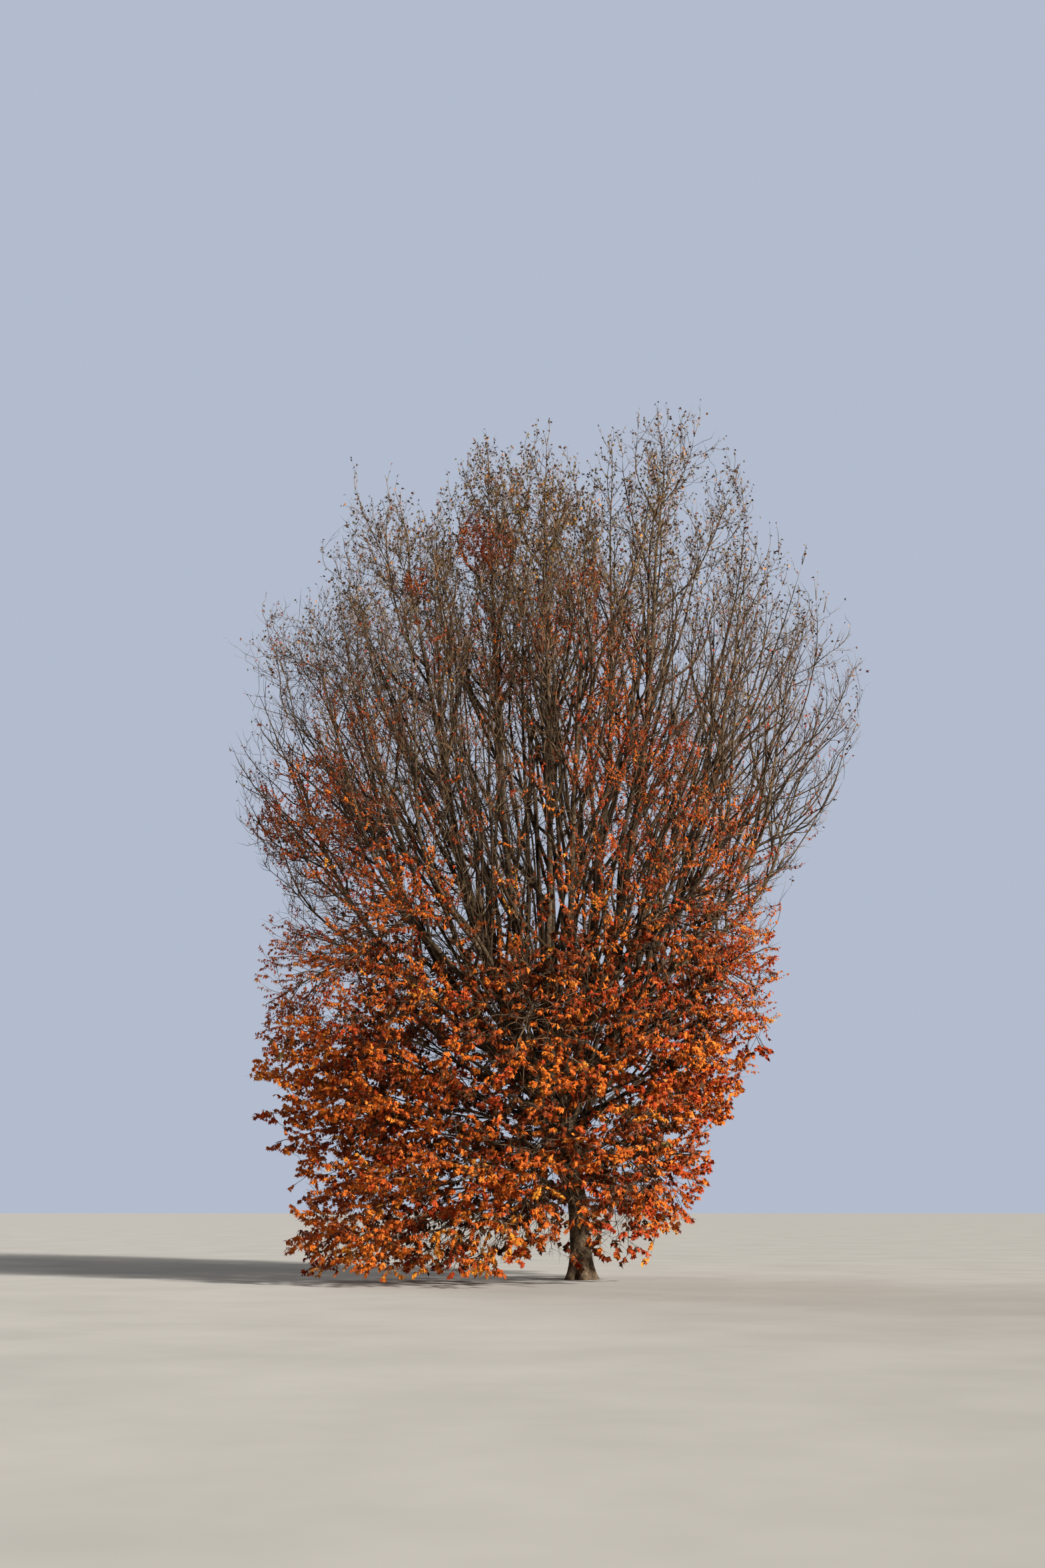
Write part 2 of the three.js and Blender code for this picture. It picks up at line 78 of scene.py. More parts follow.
# The masses: foot, tip and belly (the share of the way along at which each is widest).
MASSES = {
    "top_far_left": ((-2.9, -0.6, 10.6), (-4.35, -1.0, 18.6), 0.4),
    "top_left": ((-1.7, 1.0, 11.4), (-2.15, 1.0, 20.2), 0.42),
    "top_middle": ((-0.6, -1.0, 11.2), (-0.8, -1.0, 19.5), 0.42),
    "top_right": ((0.9, 1.7, 11.8), (0.9, 2.0, 20.5), 0.42),
    "top_crest": ((1.5, -0.6, 11.0), (2.2, -0.4, 20.3), 0.46),
    "top_far_right": ((3.1, 0.9, 10.4), (4.6, 1.0, 18.8), 0.42),
    "top_back": ((-0.6, 3.2, 11.0), (-0.7, 3.9, 19.0), 0.42),
    "upper_left_back": ((-4.2, 2.0, 8.4), (-6.0, 2.0, 17.8), 0.42),
    "upper_left": ((-4.3, -1.5, 8.0), (-6.6, -1.5, 16.4), 0.42),
    "upper_far_left": ((-4.8, 0.2, 7.4), (-7.8, 0.2, 13.9), 0.48),
    "upper_front_left": ((-3.3, -3.1, 7.8), (-3.6, -4.4, 15.2), 0.43),
    "upper_front": ((-0.1, -3.0, 10.6), (0.2, -4.0, 16.3), 0.42),
    "upper_front_right": ((2.9, -2.7, 8.0), (3.6, -3.7, 15.8), 0.43),
    "upper_right": ((3.8, -1.0, 8.2), (5.4, -1.2, 16.7), 0.42),
    "upper_far_right": ((4.1, 1.2, 7.7), (6.6, 1.2, 15.3), 0.46),
    "upper_back_right": ((2.3, 3.2, 7.8), (3.3, 4.5, 17.2), 0.45),
    "upper_back_left": ((-2.6, 3.4, 7.8), (-3.6, 4.7, 17.0), 0.45),
    "middle_left": ((-2.8, 0.3, 8.0), (-7.8, 0.2, 5.2), 0.5),
    "middle_front_left": ((-2.9, -2.1, 7.9), (-5.6, -4.9, 5.0), 0.5),
    "middle_front": ((-0.9, -2.3, 5.7), (-1.5, -6.0, 3.8), 0.5),
    "middle_front_right": ((1.5, -1.8, 7.8), (3.3, -4.9, 4.8), 0.5),
    "middle_right": ((1.6, 0.3, 8.1), (5.0, 0.3, 4.4), 0.52),
    "middle_back_right": ((0.7, 2.1, 7.9), (2.6, 5.7, 5.0), 0.5),
    "middle_back_left": ((-2.1, 2.1, 7.9), (-4.0, 5.8, 5.0), 0.5),
    "skirt_left": ((-1.8, 0.3, 3.7), (-7.2, 0.1, 2.6), 0.55),
    "skirt_front_left": ((-1.3, -1.2, 2.4), (-5.6, -3.9, 0.8), 0.56),
    "skirt_front": ((-0.7, -1.4, 3.0), (-1.4, -5.2, 1.7), 0.55),
    "skirt_front_right": ((0.4, -0.8, 3.0), (3.1, -2.9, 1.45), 0.55),
    "skirt_back": ((-0.4, 1.2, 3.4), (-0.3, 5.4, 2.3), 0.48),
}

# The boughs: parent, where on the parent it leaves, base radius, rise in degrees, and
# the share of its mass that its CAD line runs into.
BOUGHS = {
    "top_left": ("trunk", 3.72, 0.12, 64, 0.2),
    "top_crest": ("trunk", 3.72, 0.118, 66, 0.2),
    "top_far_left": ("trunk", 3.3, 0.108, 56, 0.2),
    "upper_left_back": ("trunk", 3.05, 0.1, 50, 0.2),
    "top_far_right": ("trunk", 3.35, 0.112, 58, 0.2),
    "upper_front": ("trunk", 3.45, 0.092, 66, 0.2),
    "top_back": ("trunk", 3.45, 0.104, 62, 0.2),
    "top_middle": ("top_left", 0.1, 0.092, 78, 0.2),
    "top_right": ("top_crest", 0.12, 0.09, 78, 0.2),
    "upper_left": ("top_far_left", 0.13, 0.082, 52, 0.2),
    "upper_far_left": ("upper_left_back", 0.12, 0.08, 42, 0.2),
    "upper_front_left": ("top_far_left", 0.24, 0.066, 62, 0.2),
    "upper_front_right": ("upper_front", 0.16, 0.07, 62, 0.2),
    "upper_right": ("top_far_right", 0.14, 0.08, 55, 0.2),
    "upper_far_right": ("top_far_right", 0.27, 0.072, 45, 0.2),
    "upper_back_right": ("top_back", 0.14, 0.076, 58, 0.2),
    "upper_back_left": ("top_back", 0.24, 0.07, 60, 0.2),
    "middle_left": ("trunk", 2.75, 0.072, 46, 0.42),
    "middle_front_left": ("trunk", 2.9, 0.064, 56, 0.2),
    "middle_front": ("trunk", 2.55, 0.06, 58, 0.2),
    "middle_front_right": ("trunk", 2.95, 0.062, 60, 0.2),
    "middle_right": ("trunk", 2.75, 0.07, 62, 0.38),
    "middle_back_right": ("trunk", 2.65, 0.064, 58, 0.2),
    "middle_back_left": ("trunk", 2.45, 0.066, 58, 0.2),
    "skirt_left": ("trunk", 1.95, 0.058, 36, 0.2),
    "skirt_front_left": ("trunk", 1.55, 0.05, 34, 0.2),
    "skirt_front": ("trunk", 1.8, 0.048, 42, 0.2),
    "skirt_front_right": ("trunk", 2.1, 0.052, 46, 0.2),
    "skirt_back": ("trunk", 1.9, 0.055, 42, 0.2),
}

# The crown's outline: height, then its reach to the left, right, front and back.
OUTLINE = np.array([
    (0.15, 4.2, 0.9, 3.0, 2.4),
    (1.0, 5.6, 2.2, 4.3, 3.6),
    (2.0, 5.7, 2.7, 4.8, 4.5),
    (2.9, 6.6, 2.7, 5.0, 5.1),
    (3.5, 6.9, 3.6, 5.2, 5.3),
    (4.2, 7.4, 4.0, 5.4, 5.6),
    (6.0, 6.9, 4.3, 5.7, 5.9),
    (8.0, 7.0, 4.8, 5.8, 6.1),
    (10.0, 7.6, 5.9, 5.8, 6.2),
    (12.0, 7.6, 6.4, 5.5, 6.1),
    (13.6, 7.3, 6.4, 5.0, 5.8),
    (15.0, 6.7, 5.9, 4.3, 5.2),
    (16.5, 5.9, 5.0, 3.4, 4.5),
    (18.0, 4.6, 3.8, 2.7, 3.7),
    (19.2, 3.2, 3.0, 2.1, 2.9),
    (20.3, 1.8, 2.6, 1.4, 2.2),
])

UPPER = [n for n in MASSES if n.startswith(("top", "upper"))]
LEAFY = [n for n in MASSES if not n.startswith(("top", "upper"))]
NAMES = list(MASSES)
UP = np.array([0.0, 0.0, 1.0])


# ------------------------------------------------------------------ small helpers


def unit(v):
    v = np.asarray(v, float)
    return v / np.maximum(np.linalg.norm(v, axis=-1, keepdims=True), 1e-9)


def smooth(t):
    t = np.clip(t, 0.0, 1.0)
    return t * t * (3 - 2 * t)


def scatter01(ix, iy, iz, seed):
    """A repeatable number from 0 to 1 for each whole-numbered cell."""
    n = ix * 73856093 ^ iy * 19349663 ^ iz * 83492791 ^ (seed * 40503 + 977)
    n = ((n ^ (n >> 13)) * 1274126177) & 0x7FFFFFFF
    n = ((n ^ (n >> 15)) * 668265263) & 0x7FFFFFFF
    return ((n >> 7) & 0xFFFF) / 65535.0


def noise(p, seed=0):
    """Smooth noise from -1 to 1 at each point."""
    p = np.asarray(p, float)
    cell = np.floor(p).astype(np.int64)
    f = p - cell
    f = f * f * (3 - 2 * f)
    total = 0.0
    for dx in (0, 1):
        wx = f[..., 0] if dx else 1 - f[..., 0]
        for dy in (0, 1):
            wy = f[..., 1] if dy else 1 - f[..., 1]
            for dz in (0, 1):
                wz = f[..., 2] if dz else 1 - f[..., 2]
                total = total + wx * wy * wz * scatter01(
                    cell[..., 0] + dx, cell[..., 1] + dy, cell[..., 2] + dz, seed
                )
    return 2 * total - 1


def bezier(c, t):
    """Points on cubic curves. c is (..., 4, 3), t is (S,). Gives (..., S, 3)."""
    c = np.asarray(c, float)
    t = np.asarray(t, float)[:, None]
    w = ((1 - t) ** 3, 3 * t * (1 - t) ** 2, 3 * t * t * (1 - t), t**3)
    return sum(w[k] * c[..., k, None, :] for k in range(4))


def tangents(pts):
    """Unit directions along paths (..., S, 3)."""
    d = np.empty_like(pts)
    d[..., 1:-1, :] = pts[..., 2:, :] - pts[..., :-2, :]
    d[..., 0, :] = pts[..., 1, :] - pts[..., 0, :]
    d[..., -1, :] = pts[..., -1, :] - pts[..., -2, :]
    return unit(d)


def resample(pts, radii, count):
    """One path, spaced evenly by its length."""
    s = np.concatenate([[0], np.cumsum(np.linalg.norm(np.diff(pts, axis=0), axis=1))])
    u = np.linspace(0, s[-1], count)
    out = np.stack([np.interp(u, s, pts[:, k]) for k in range(3)], 1)
    return out, np.interp(u, s, radii), u


# ------------------------------------------------------------------ the masses of the frame


def foot_of(name):
    return np.array(MASSES[name][0], float)


def tip_of(name):
    return np.array(MASSES[name][1], float)


def middle_of(name):
    return foot_of(name) + (tip_of(name) - foot_of(name)) * MASSES[name][2]


def axes_of(name):
    """Along the mass, round the tree, and through its thickness."""
    along = unit(tip_of(name) - foot_of(name))
    mid = middle_of(name)
    out = np.array([mid[0] + 0.4, mid[1], 0.0])
    if np.linalg.norm(out) < 0.3:
        out = np.array([0.0, -1.0, 0.0])
    around = unit(np.array([-out[1], out[0], 0.0]))
    around = unit(around - around.dot(along) * along)
    return along, around, unit(np.cross(along, around))


AZ, EL = 48, 25
HEAD = 0.13


def reach_table(name):
    """How far the frame's mass reaches from its middle in each direction."""
    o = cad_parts["mass_" + name]
    tree = BVHTree.FromPolygons(
        [v.co.copy() for v in o.data.vertices],
        [tuple(p.vertices) for p in o.data.polygons],
    )
    mid = Vector(middle_of(name))
    table = np.empty((EL, AZ + 1))
    for i in range(EL):
        e = -math.pi / 2 + math.pi * i / (EL - 1)
        for j in range(AZ):
            a = 2 * math.pi * j / AZ
            way = Vector((math.cos(e) * math.cos(a), math.cos(e) * math.sin(a), math.sin(e)))
            far = tree.ray_cast(mid, way)[3]
            table[i, j] = far if far else 0.2
    table[:, AZ] = table[:, 0]
    return table


REACH = {n: reach_table(n) for n in NAMES}


def reach(name, u):
    """The mass's reach from its middle along the unit directions u."""
    u = np.atleast_2d(u)
    e = (np.arcsin(np.clip(u[:, 2], -1, 1)) / math.pi + 0.5) * (EL - 1)
    a = (np.arctan2(u[:, 1], u[:, 0]) / (2 * math.pi) % 1.0) * AZ
    i = np.clip(e.astype(int), 0, EL - 2)
    j = np.clip(a.astype(int), 0, AZ - 1)
    fe, fa = e - i, a - j
    t = REACH[name]
    far = (
        t[i, j] * (1 - fe) * (1 - fa)
        + t[i + 1, j] * fe * (1 - fa)
        + t[i, j + 1] * (1 - fe) * fa
        + t[i + 1, j + 1] * fe * fa
    )
    if name in UPPER:  # the plumes are broad-headed: fuller below the tip than their solids
        c = (u * axes_of(name)[0]).sum(1)
        far = far * (1 + HEAD * smooth((c - 0.25) / 0.4) * smooth((1.0 - c) / 0.07))
    return far


def place(points):
    """(which mass each point belongs to, its share of the way out to that mass's skin)."""
    best = np.full(len(points), 1e9)
    which = np.zeros(len(points), int)
    for k, n in enumerate(NAMES):
        q = points - middle_of(n)
        far = np.maximum(np.linalg.norm(q, axis=1), 1e-6)
        share = far / reach(n, q / far[:, None])
        near = share < best
        best[near] = share[near]
        which[near] = k
    return which, best


def outline_share(p):
    """How far out a point is, from 0 on the tree's axis to 1 on the crown's outline."""
    z = p[:, 2]
    left, right, front, back = (
        np.interp(z, OUTLINE[:, 0], OUTLINE[:, k]) for k in range(1, 5)
    )
    x = np.abs(p[:, 0]) / np.where(p[:, 0] < 0, left, right)
    y = np.abs(p[:, 1]) / np.where(p[:, 1] < 0, front, back)
    return (x**2.2 + y**2.2) ** (1 / 2.2)


# ------------------------------------------------------------------ trunk and boughs


def trunk_point(z):
    t = np.asarray(z, float) / TRUNK_HEIGHT
    return np.stack([TRUNK_LEAN * t * t, 0.05 * np.sin(2.4 * t), t * TRUNK_HEIGHT], -1)


def trunk_radius(z, angle):
    flare = np.exp(-z / FLARE_HEIGHT)
    lobes = 1 + 0.22 * flare * np.cos(FLARE_LOBES * angle + 0.7)
    fork = FORK_SWELL * np.exp(-(((z - 2.95) / 0.75) ** 2)) - 0.055 * smooth(
        (z - 3.2) / (TRUNK_HEIGHT - 3.2)
    )
    return (
        (TRUNK_RADIUS - 0.006 * z + FLARE_RADIUS * flare + fork)
        * lobes
        * (1 + 0.025 * np.sin(3 * angle + 1.9 * z))
    )


CURVES = {}
for name, (parent, at, r0, rise, into) in BOUGHS.items():
    foot, tip = foot_of(name), tip_of(name)
    end = foot + (tip - foot) * into
    start = trunk_point(at) if parent == "trunk" else bezier(CURVES[parent], [at])[0]
    level = end - start
    level[2] = 0
    leave = unit(level) * math.cos(math.radians(rise)) + UP * math.sin(math.radians(rise))
    long = np.linalg.norm(end - start)
    CURVES[name] = np.array(
        [start, start + 0.34 * long * leave, end - 0.34 * long * unit(tip - foot), end]
    )

BOUGH_NODES = 60
BOUGH = {}  # name: (points, radii, distance along, distance where the frame's bough ends)
for k, (name, (parent, at, r0, rise, into)) in enumerate(BOUGHS.items()):
    t = np.linspace(0, 1, 40)
    cad = bezier(CURVES[name], t)
    cad_r = r0 * (1 - 0.5 * t**0.8)
    along = unit(tip_of(name) - foot_of(name))
    mid = middle_of(name)
    last = mid + along * reach(name, along)[0] * 0.965
    s = np.linspace(0, 1, 44)[1:]
    on = cad[-1] + (last - cad[-1]) * s[:, None]
    far = np.linalg.norm(last - cad[-1])
    side, thick = axes_of(name)[1:]
    wave = (0.035 * far * s)[:, None]
    on = on + wave * (
        side * noise(np.stack([s * 3.1 + 5.3 * k, s * 0 + 0.5, s * 0], 1), 11)[:, None]
        + thick * noise(np.stack([s * 3.1 + 3.7 * k, s * 0 + 7.5, s * 0], 1), 12)[:, None]
    )
    if name in LEAFY:  # a leafy side bough arches before it droops
        on = on + UP * (0.05 * far * np.sin(math.pi * s) * s)[:, None]
    on_r = cad_r[-1] + (0.007 - cad_r[-1]) * s**0.85
    bend = (0.03 * np.sin(math.pi * t) ** 0.5)[:, None]
    cad = cad + bend * (
        side * noise(np.stack([t * 6 + 2.9 * k, t * 0, t * 0 + 3.3], 1), 13)[:, None]
        + thick * noise(np.stack([t * 6 + 4.1 * k, t * 0, t * 0 + 8.3], 1), 14)[:, None]
    )
    pts, rad, u = resample(
        np.vstack([cad, on]), np.concatenate([cad_r, on_r]), BOUGH_NODES
    )
    cad_long = np.linalg.norm(np.diff(cad, axis=0), axis=1).sum()
    BOUGH[name] = (pts, rad, u, cad_long)


# ------------------------------------------------------------------ meshes


def mesh_object(name, verts, tris, material, smooth_faces=True):
    me = bpy.data.meshes.new(name)
    me.vertices.add(len(verts))
    me.vertices.foreach_set("co", np.ascontiguousarray(verts, np.float32).ravel())
    me.loops.add(3 * len(tris))
    me.loops.foreach_set("vertex_index", np.ascontiguousarray(tris, np.int32).ravel())
    me.polygons.add(len(tris))
    me.polygons.foreach_set("loop_start", np.arange(0, 3 * len(tris), 3, dtype=np.int32))
    me.polygons.foreach_set("use_smooth", np.full(len(tris), smooth_faces, dtype=bool))
    me.update(calc_edges=True)
    me.validate()
    o = bpy.data.objects.new(name, me)
    bpy.context.scene.collection.objects.link(o)
    me.materials.append(material)
    return o


def ring_frames(pts):
    """Two directions across each node of paths (N, S, 3), steady along each path."""
    t = tangents(pts)
    whole = unit(pts[:, -1] - pts[:, 0])
    ref = np.where(np.abs(whole[:, 2:3]) < 0.7, UP, np.array([0.0, 1.0, 0.0]))
    ref = unit(ref - (ref * whole).sum(-1, keepdims=True) * whole)[:, None, :]
    a = unit(ref - (ref * t).sum(-1, keepdims=True) * t)
    return a, np.cross(t, a)


def tubes(pts, radii, sides, spin=None):
    """Closed-tip tubes round paths (N, S+1, 3): (vertices, triangles)."""
    n, nodes, _ = pts.shape
    a, b = ring_frames(pts)
    ang = np.arange(sides) * 2 * math.pi / sides
    if spin is None:
        spin = np.zeros(n)
    ang = ang[None, :] + spin[:, None]
    ca, sa = np.cos(ang)[:, None, :, None], np.sin(ang)[:, None, :, None]
    rings = nodes - 1
    v = (
        pts[:, :rings, None, :]
        + (a[:, :rings, None, :] * ca + b[:, :rings, None, :] * sa)
        * radii[:, :rings, None, None]
    ).reshape(n, rings * sides, 3)
    v = np.concatenate([v, pts[:, -1:, :]], 1)
    per = rings * sides + 1
    one = []
    for i in range(rings - 1):
        for j in range(sides):
            p, q = i * sides + j, i * sides + (j + 1) % sides
            one += [(p, q, q + sides), (p, q + sides, p + sides)]
    for j in range(sides):
        p, q = (rings - 1) * sides + j, (rings - 1) * sides + (j + 1) % sides
        one.append((p, q, rings * sides))
    tris = np.array(one)[None] + (np.arange(n) * per)[:, None, None]
    return v.reshape(-1, 3), tris.reshape(-1, 3)


def join(parts):
    """Several (vertices, triangles) as one."""
    vs, ts, at = [], [], 0
    for v, t in parts:
        vs.append(v)
        ts.append(t + at)
        at += len(v)
    return np.concatenate(vs), np.concatenate(ts)


# ------------------------------------------------------------------ growth


def wander(n, nodes, size, terms=3):
    """Smooth sideways offsets for n paths, none at either end. size is (n,)."""
    t = np.linspace(0, 1, nodes)
    out = np.zeros((n, nodes, 3))
    for k in range(1, terms + 1):
        out += (
            rng.normal(size=(n, 1, 3))
            * (np.sin(math.pi * k * t) / k**1.3)[None, :, None]
        )
    return out * np.asarray(size)[:, None, None]


def grow(p, end, d0, d1, nodes, wobble):
    """Curved paths from p to end that leave along d0 and arrive along d1."""
    far = np.linalg.norm(end - p, axis=1, keepdims=True)
    c = np.stack([p, p + 0.36 * far * d0, end - 0.36 * far * d1, end], 1)
    pts = bezier(c, np.linspace(0, 1, nodes))
    return pts + wander(len(p), nodes, wobble * far[:, 0])


def outward(p):
    """Level, away from the tree's axis."""
    o = np.array(p, float)
    o[..., 0] += 0.3
    o[..., 2] = 0
    return unit(o)


class Wood:
    """All the nodes that a new branch may grow from."""

    def __init__(self):
        self.p, self.t, self.r, self.kind = [], [], [], []

    def add(self, pts, radii, kind):
        t = tangents(pts)
        self.p.append(pts.reshape(-1, 3))
        self.t.append(t.reshape(-1, 3))
        self.r.append(radii.reshape(-1))
        self.kind.append(np.full(pts.reshape(-1, 3).shape[0], kind))

    def settle(self):
        self.P, self.T = np.concatenate(self.p), np.concatenate(self.t)
        self.R, self.K = np.concatenate(self.r), np.concatenate(self.kind)
        self.tree = KDTree(len(self.P))
        for i, q in enumerate(self.P):
            self.tree.insert(q, i)
        self.tree.balance()

    def parents(self, ends, angle, spread, scale, near, climb):
        """For each end, the node whose branch would leave at the likeliest angle."""
        idx = np.array([[i for _, i, _ in self.tree.find_n(e, near)] for e in ends])
        v = ends[:, None, :] - self.P[idx]
        far = np.linalg.norm(v, axis=-1)
        cos = (v * self.T[idx]).sum(-1) / np.maximum(far, 1e-6)
        alpha = np.degrees(np.arccos(np.clip(cos, -1, 1)))
        cost = ((alpha - angle[:, None]) / spread) ** 2 + (far / scale) ** 2
        drop = self.P[idx][..., 2] - ends[:, None, 2]
        cost += climb[:, None] * np.maximum(0, drop + 0.1) * 4
        cost += np.where(far < 0.25, 50, 0)
        best = np.argmin(cost, 1)
        row = np.arange(len(ends))
        return idx[row, best], far[row, best]


def lattice(spacing, turn):
    """Jittered points on a turned grid through the whole crown."""
    lo, hi = np.array(cad_low) - 0.5, np.array(cad_high) + 0.5
    mid = (lo + hi) / 2
    half = np.linalg.norm(hi - lo) / 2
    k = np.arange(-half, half, spacing)
    g = np.stack(np.meshgrid(k, k, k, indexing="ij"), -1).reshape(-1, 3)
    g += rng.uniform(-0.42, 0.42, g.shape) * spacing
    a, b = math.radians(turn), math.radians(turn * 0.6)
    rx = np.array([[1, 0, 0], [0, math.cos(a), -math.sin(a)], [0, math.sin(a), math.cos(a)]])
    rz = np.array([[math.cos(b), -math.sin(b), 0], [math.sin(b), math.cos(b), 0], [0, 0, 1]])
    g = g @ (rx @ rz).T + mid
    return g[((g > lo) & (g < hi)).all(1)]


# The limbs: from each bough out to ends spread over its mass's skin.

limb_sets = []  # (points, radii, sides, leafy)
wood = Wood()
leaders = []  # the ends that plumes gather round
for name in NAMES:
    pts, rad, u, cad_long = BOUGH[name]
    keep = u > 0.35 * cad_long
    wood.add(pts[keep], rad[keep], 0)
    leaders.append(pts[u > 0.9 * cad_long])
    upper = name in UPPER
    side_on = name in ("upper_far_left", "upper_left", "upper_right", "upper_far_right")
    count = (14 if side_on else 20) if upper else 11
    low = -0.12 if upper else -0.35
    along, around, through = axes_of(name)
    mid = middle_of(name)
    turn = rng.uniform(0, 6.28)
    T = tangents(pts)
    used = []
    early = 3 if upper else 0
    for k in range(-early, count):
        c = 1 - (1 - low) * ((k + 0.7) / count) ** (1.35 if upper else 1.0) if k >= 0 else 0.25 - 0.2 * k
        phi = turn + k * 2.39996
        flat = math.sqrt(max(0.0, 1 - c * c))
        way = unit(c * along + flat * (math.cos(phi) * around + math.sin(phi) * through))
        share = rng.uniform(0.84, 1.02) if upper else rng.uniform(0.8, 0.96)
        end = mid + way * reach(name, way)[0] * share
        if end[2] < 0.5:
            continue
        v = end - pts
        far = np.linalg.norm(v, axis=1)
        alpha = np.degrees(np.arccos(np.clip((v * T).sum(1) / far, -1, 1)))
        want = rng.uniform(14, 30) if upper else rng.uniform(22, 40)
        cost = ((alpha - want) / 6) ** 2 + (far / 9) ** 2
        if k < 0:
            cost = (u / cad_long - rng.uniform(0.28, 0.6)) ** 2 * 400
        cost += np.where(u < (0.8 if upper else 0.6), 80, 0) + np.where(u > 0.93 * u[-1], 40, 0)
        for at in used:
            cost += 1.2 * np.exp(-(((u - at) / 0.3) ** 2))
        i = int(np.argmin(cost))
        used.append(u[i])
        p, t, L = pts[i], T[i], far[i]
        to = v[i] / L
        aside = unit(to - to.dot(t) * t)
        d0 = unit(to + 0.28 * aside)
        if upper:
            d1 = unit(0.7 * to + 0.25 * UP + 0.15 * along)
        else:
            d1 = unit(0.85 * to + 0.25 * outward(end) - 0.12 * UP)
        nodes = int(np.clip(L / 0.6, 7, 15)) + 1
        path = grow(p[None], end[None], d0[None], d1[None], nodes, (0.05 if side_on else 0.042) if upper else 0.022)[0]
        base = min(0.66 * rad[i], 0.012 + 0.0066 * L)
        s = np.linspace(0, 1, nodes)
        r = base + (0.0065 - base) * s**1.05
        limb_sets.append((path, r, upper))
        wood.add(path[nodes // 5 :], r[nodes // 5 :], 1)
        leaders.append(path[nodes // 2 :])

wood.settle()
leaders = np.concatenate(leaders)
leader_tree = KDTree(len(leaders))
for i, q in enumerate(leaders):
    leader_tree.insert(q, i)
leader_tree.balance()


def leader_distance(points):
    return np.array([leader_tree.find(p)[2] for p in points])


MIDDLES = np.array([middle_of(n) for n in NAMES])
ALONGS = np.array([axes_of(n)[0] for n in NAMES])


def tipward(points, which):
    """From 0 on the foot half of a mass to 1 well out on its tip half."""
    q = unit(points - MIDDLES[which])
    return smooth((q * ALONGS[which]).sum(1) * 2.5 + 0.3)


def in_core(points, share):
    """The open middle of the fan, between the masses."""
    z = points[:, 2]
    out = outline_share(points)
    rim = smooth((z - 6.2) / 0.8) * smooth((11.5 - z) / 1.5)
    wide = np.where(points[:, 1] < 0, 0.86, 0.7 + 0.14 * rim) + 0.1 * rim
    fan = (out < wide) & (z > 4.4) & (z < 13) & (share < 1.9) & (share > 0.97)
    waist = (out < 0.97) & (z > 2.6) & (z < 5.4) & (share < 1.8) & (share > 0.97)
    return fan | waist | hem(points, share, out)


def in_fan(points, share):
    """The middle of the fan, where the limbs are seen between few twigs."""
    z = points[:, 2]
    out = outline_share(points)
    return (share > 0.97) * smooth((z - 6.2) / 1.0) * smooth((12.0 - z) / 2) * smooth((0.8 - out) / 0.15)


def hem(points, share, out):
    """The lowest sprays, which hang below the skirt and nearly touch the ground."""
    x, y, z = points.T
    round_foot = ((x + 2.3) / 3.7) ** 2 + ((y + 1.5) / 3.3) ** 2 < 1
    round_foot |= (out < 1.0) & (x < 2.4) & (y < 1.5) & (z > 0.5 + 0.25 * x)
    floor_at = 0.08 + 0.28 * smooth((x + 2.1) / 1.6)
    low = 2.6 + 3.0 * smooth((x + 1.9) / 0.8)
    return round_foot & (z < 2.6) & (z > floor_at) & (share < low) & (share > 0.97)


GATHER = 0.66


def heads(p):
    """The left and middle plumes' heads, which are the fullest."""
    return smooth((p[:, 2] - 12.3) / 1.5) * smooth((0.3 - p[:, 0]) / 1.2)


def fullness(p):
    """How much of the bare fine wood grows at each point, from 0 to 1."""
    x, y, z = p.T
    aloft = smooth((z - 6.5) / 1.5)
    middle = aloft * smooth((14.0 - z) / 2)
    front = middle * smooth((-y - 0.8) / 1.6)
    right = smooth((x - 1.0) / 1.4) * smooth((z - 9.0) / 2)
    edge = smooth((x - 3.0) / 1.2) * aloft * smooth((13.0 - z) / 2)
    edge = np.maximum(edge, smooth((-5.4 - x) / 0.8) * smooth((z - 10.0) / 1.0) * smooth((13.4 - z) / 1.0))
    inside = smooth((z - 9.0) / 3) * smooth((0.72 - outline_share(p)) / 0.2) * smooth((17.0 - z) / 2)
    open_air = (1 - 0.22 * front) * (1 - 0.08 * right) * (1 - 0.4 * edge)
    open_air *= 1 - 0.25 * smooth((y - 0.8) / 2) * smooth((z - 11.0) / 2)
    x = (x + 1.216) * 36.2 / (36.2 + y) - 1.216
    dip = smooth(1.15 - np.abs(x - 1.05) / 0.6) * smooth((z - 16.0) / 1.0)
    dip = np.maximum(dip, smooth((-2.5 - x) / 0.5) * smooth((z - 16.6) / 0.8))
    return open_air * (1 - 0.24 * inside * (1 - 0.7 * heads(p))) * (1 - 0.55 * dip)


def bulge(p):
    """Where the fine wood stands out a little past the masses."""
    x, y, z = p.T
    left = smooth((-3.2 - x) / 0.8) * smooth((z - 12.5) / 1.0) * smooth((16.8 - z) / 1.0)
    right = smooth((x - 1.7) / 0.6) * smooth((4.6 - x) / 0.8) * smooth((z - 15.0) / 1.0)
    return 0.13 * np.maximum(left, right)


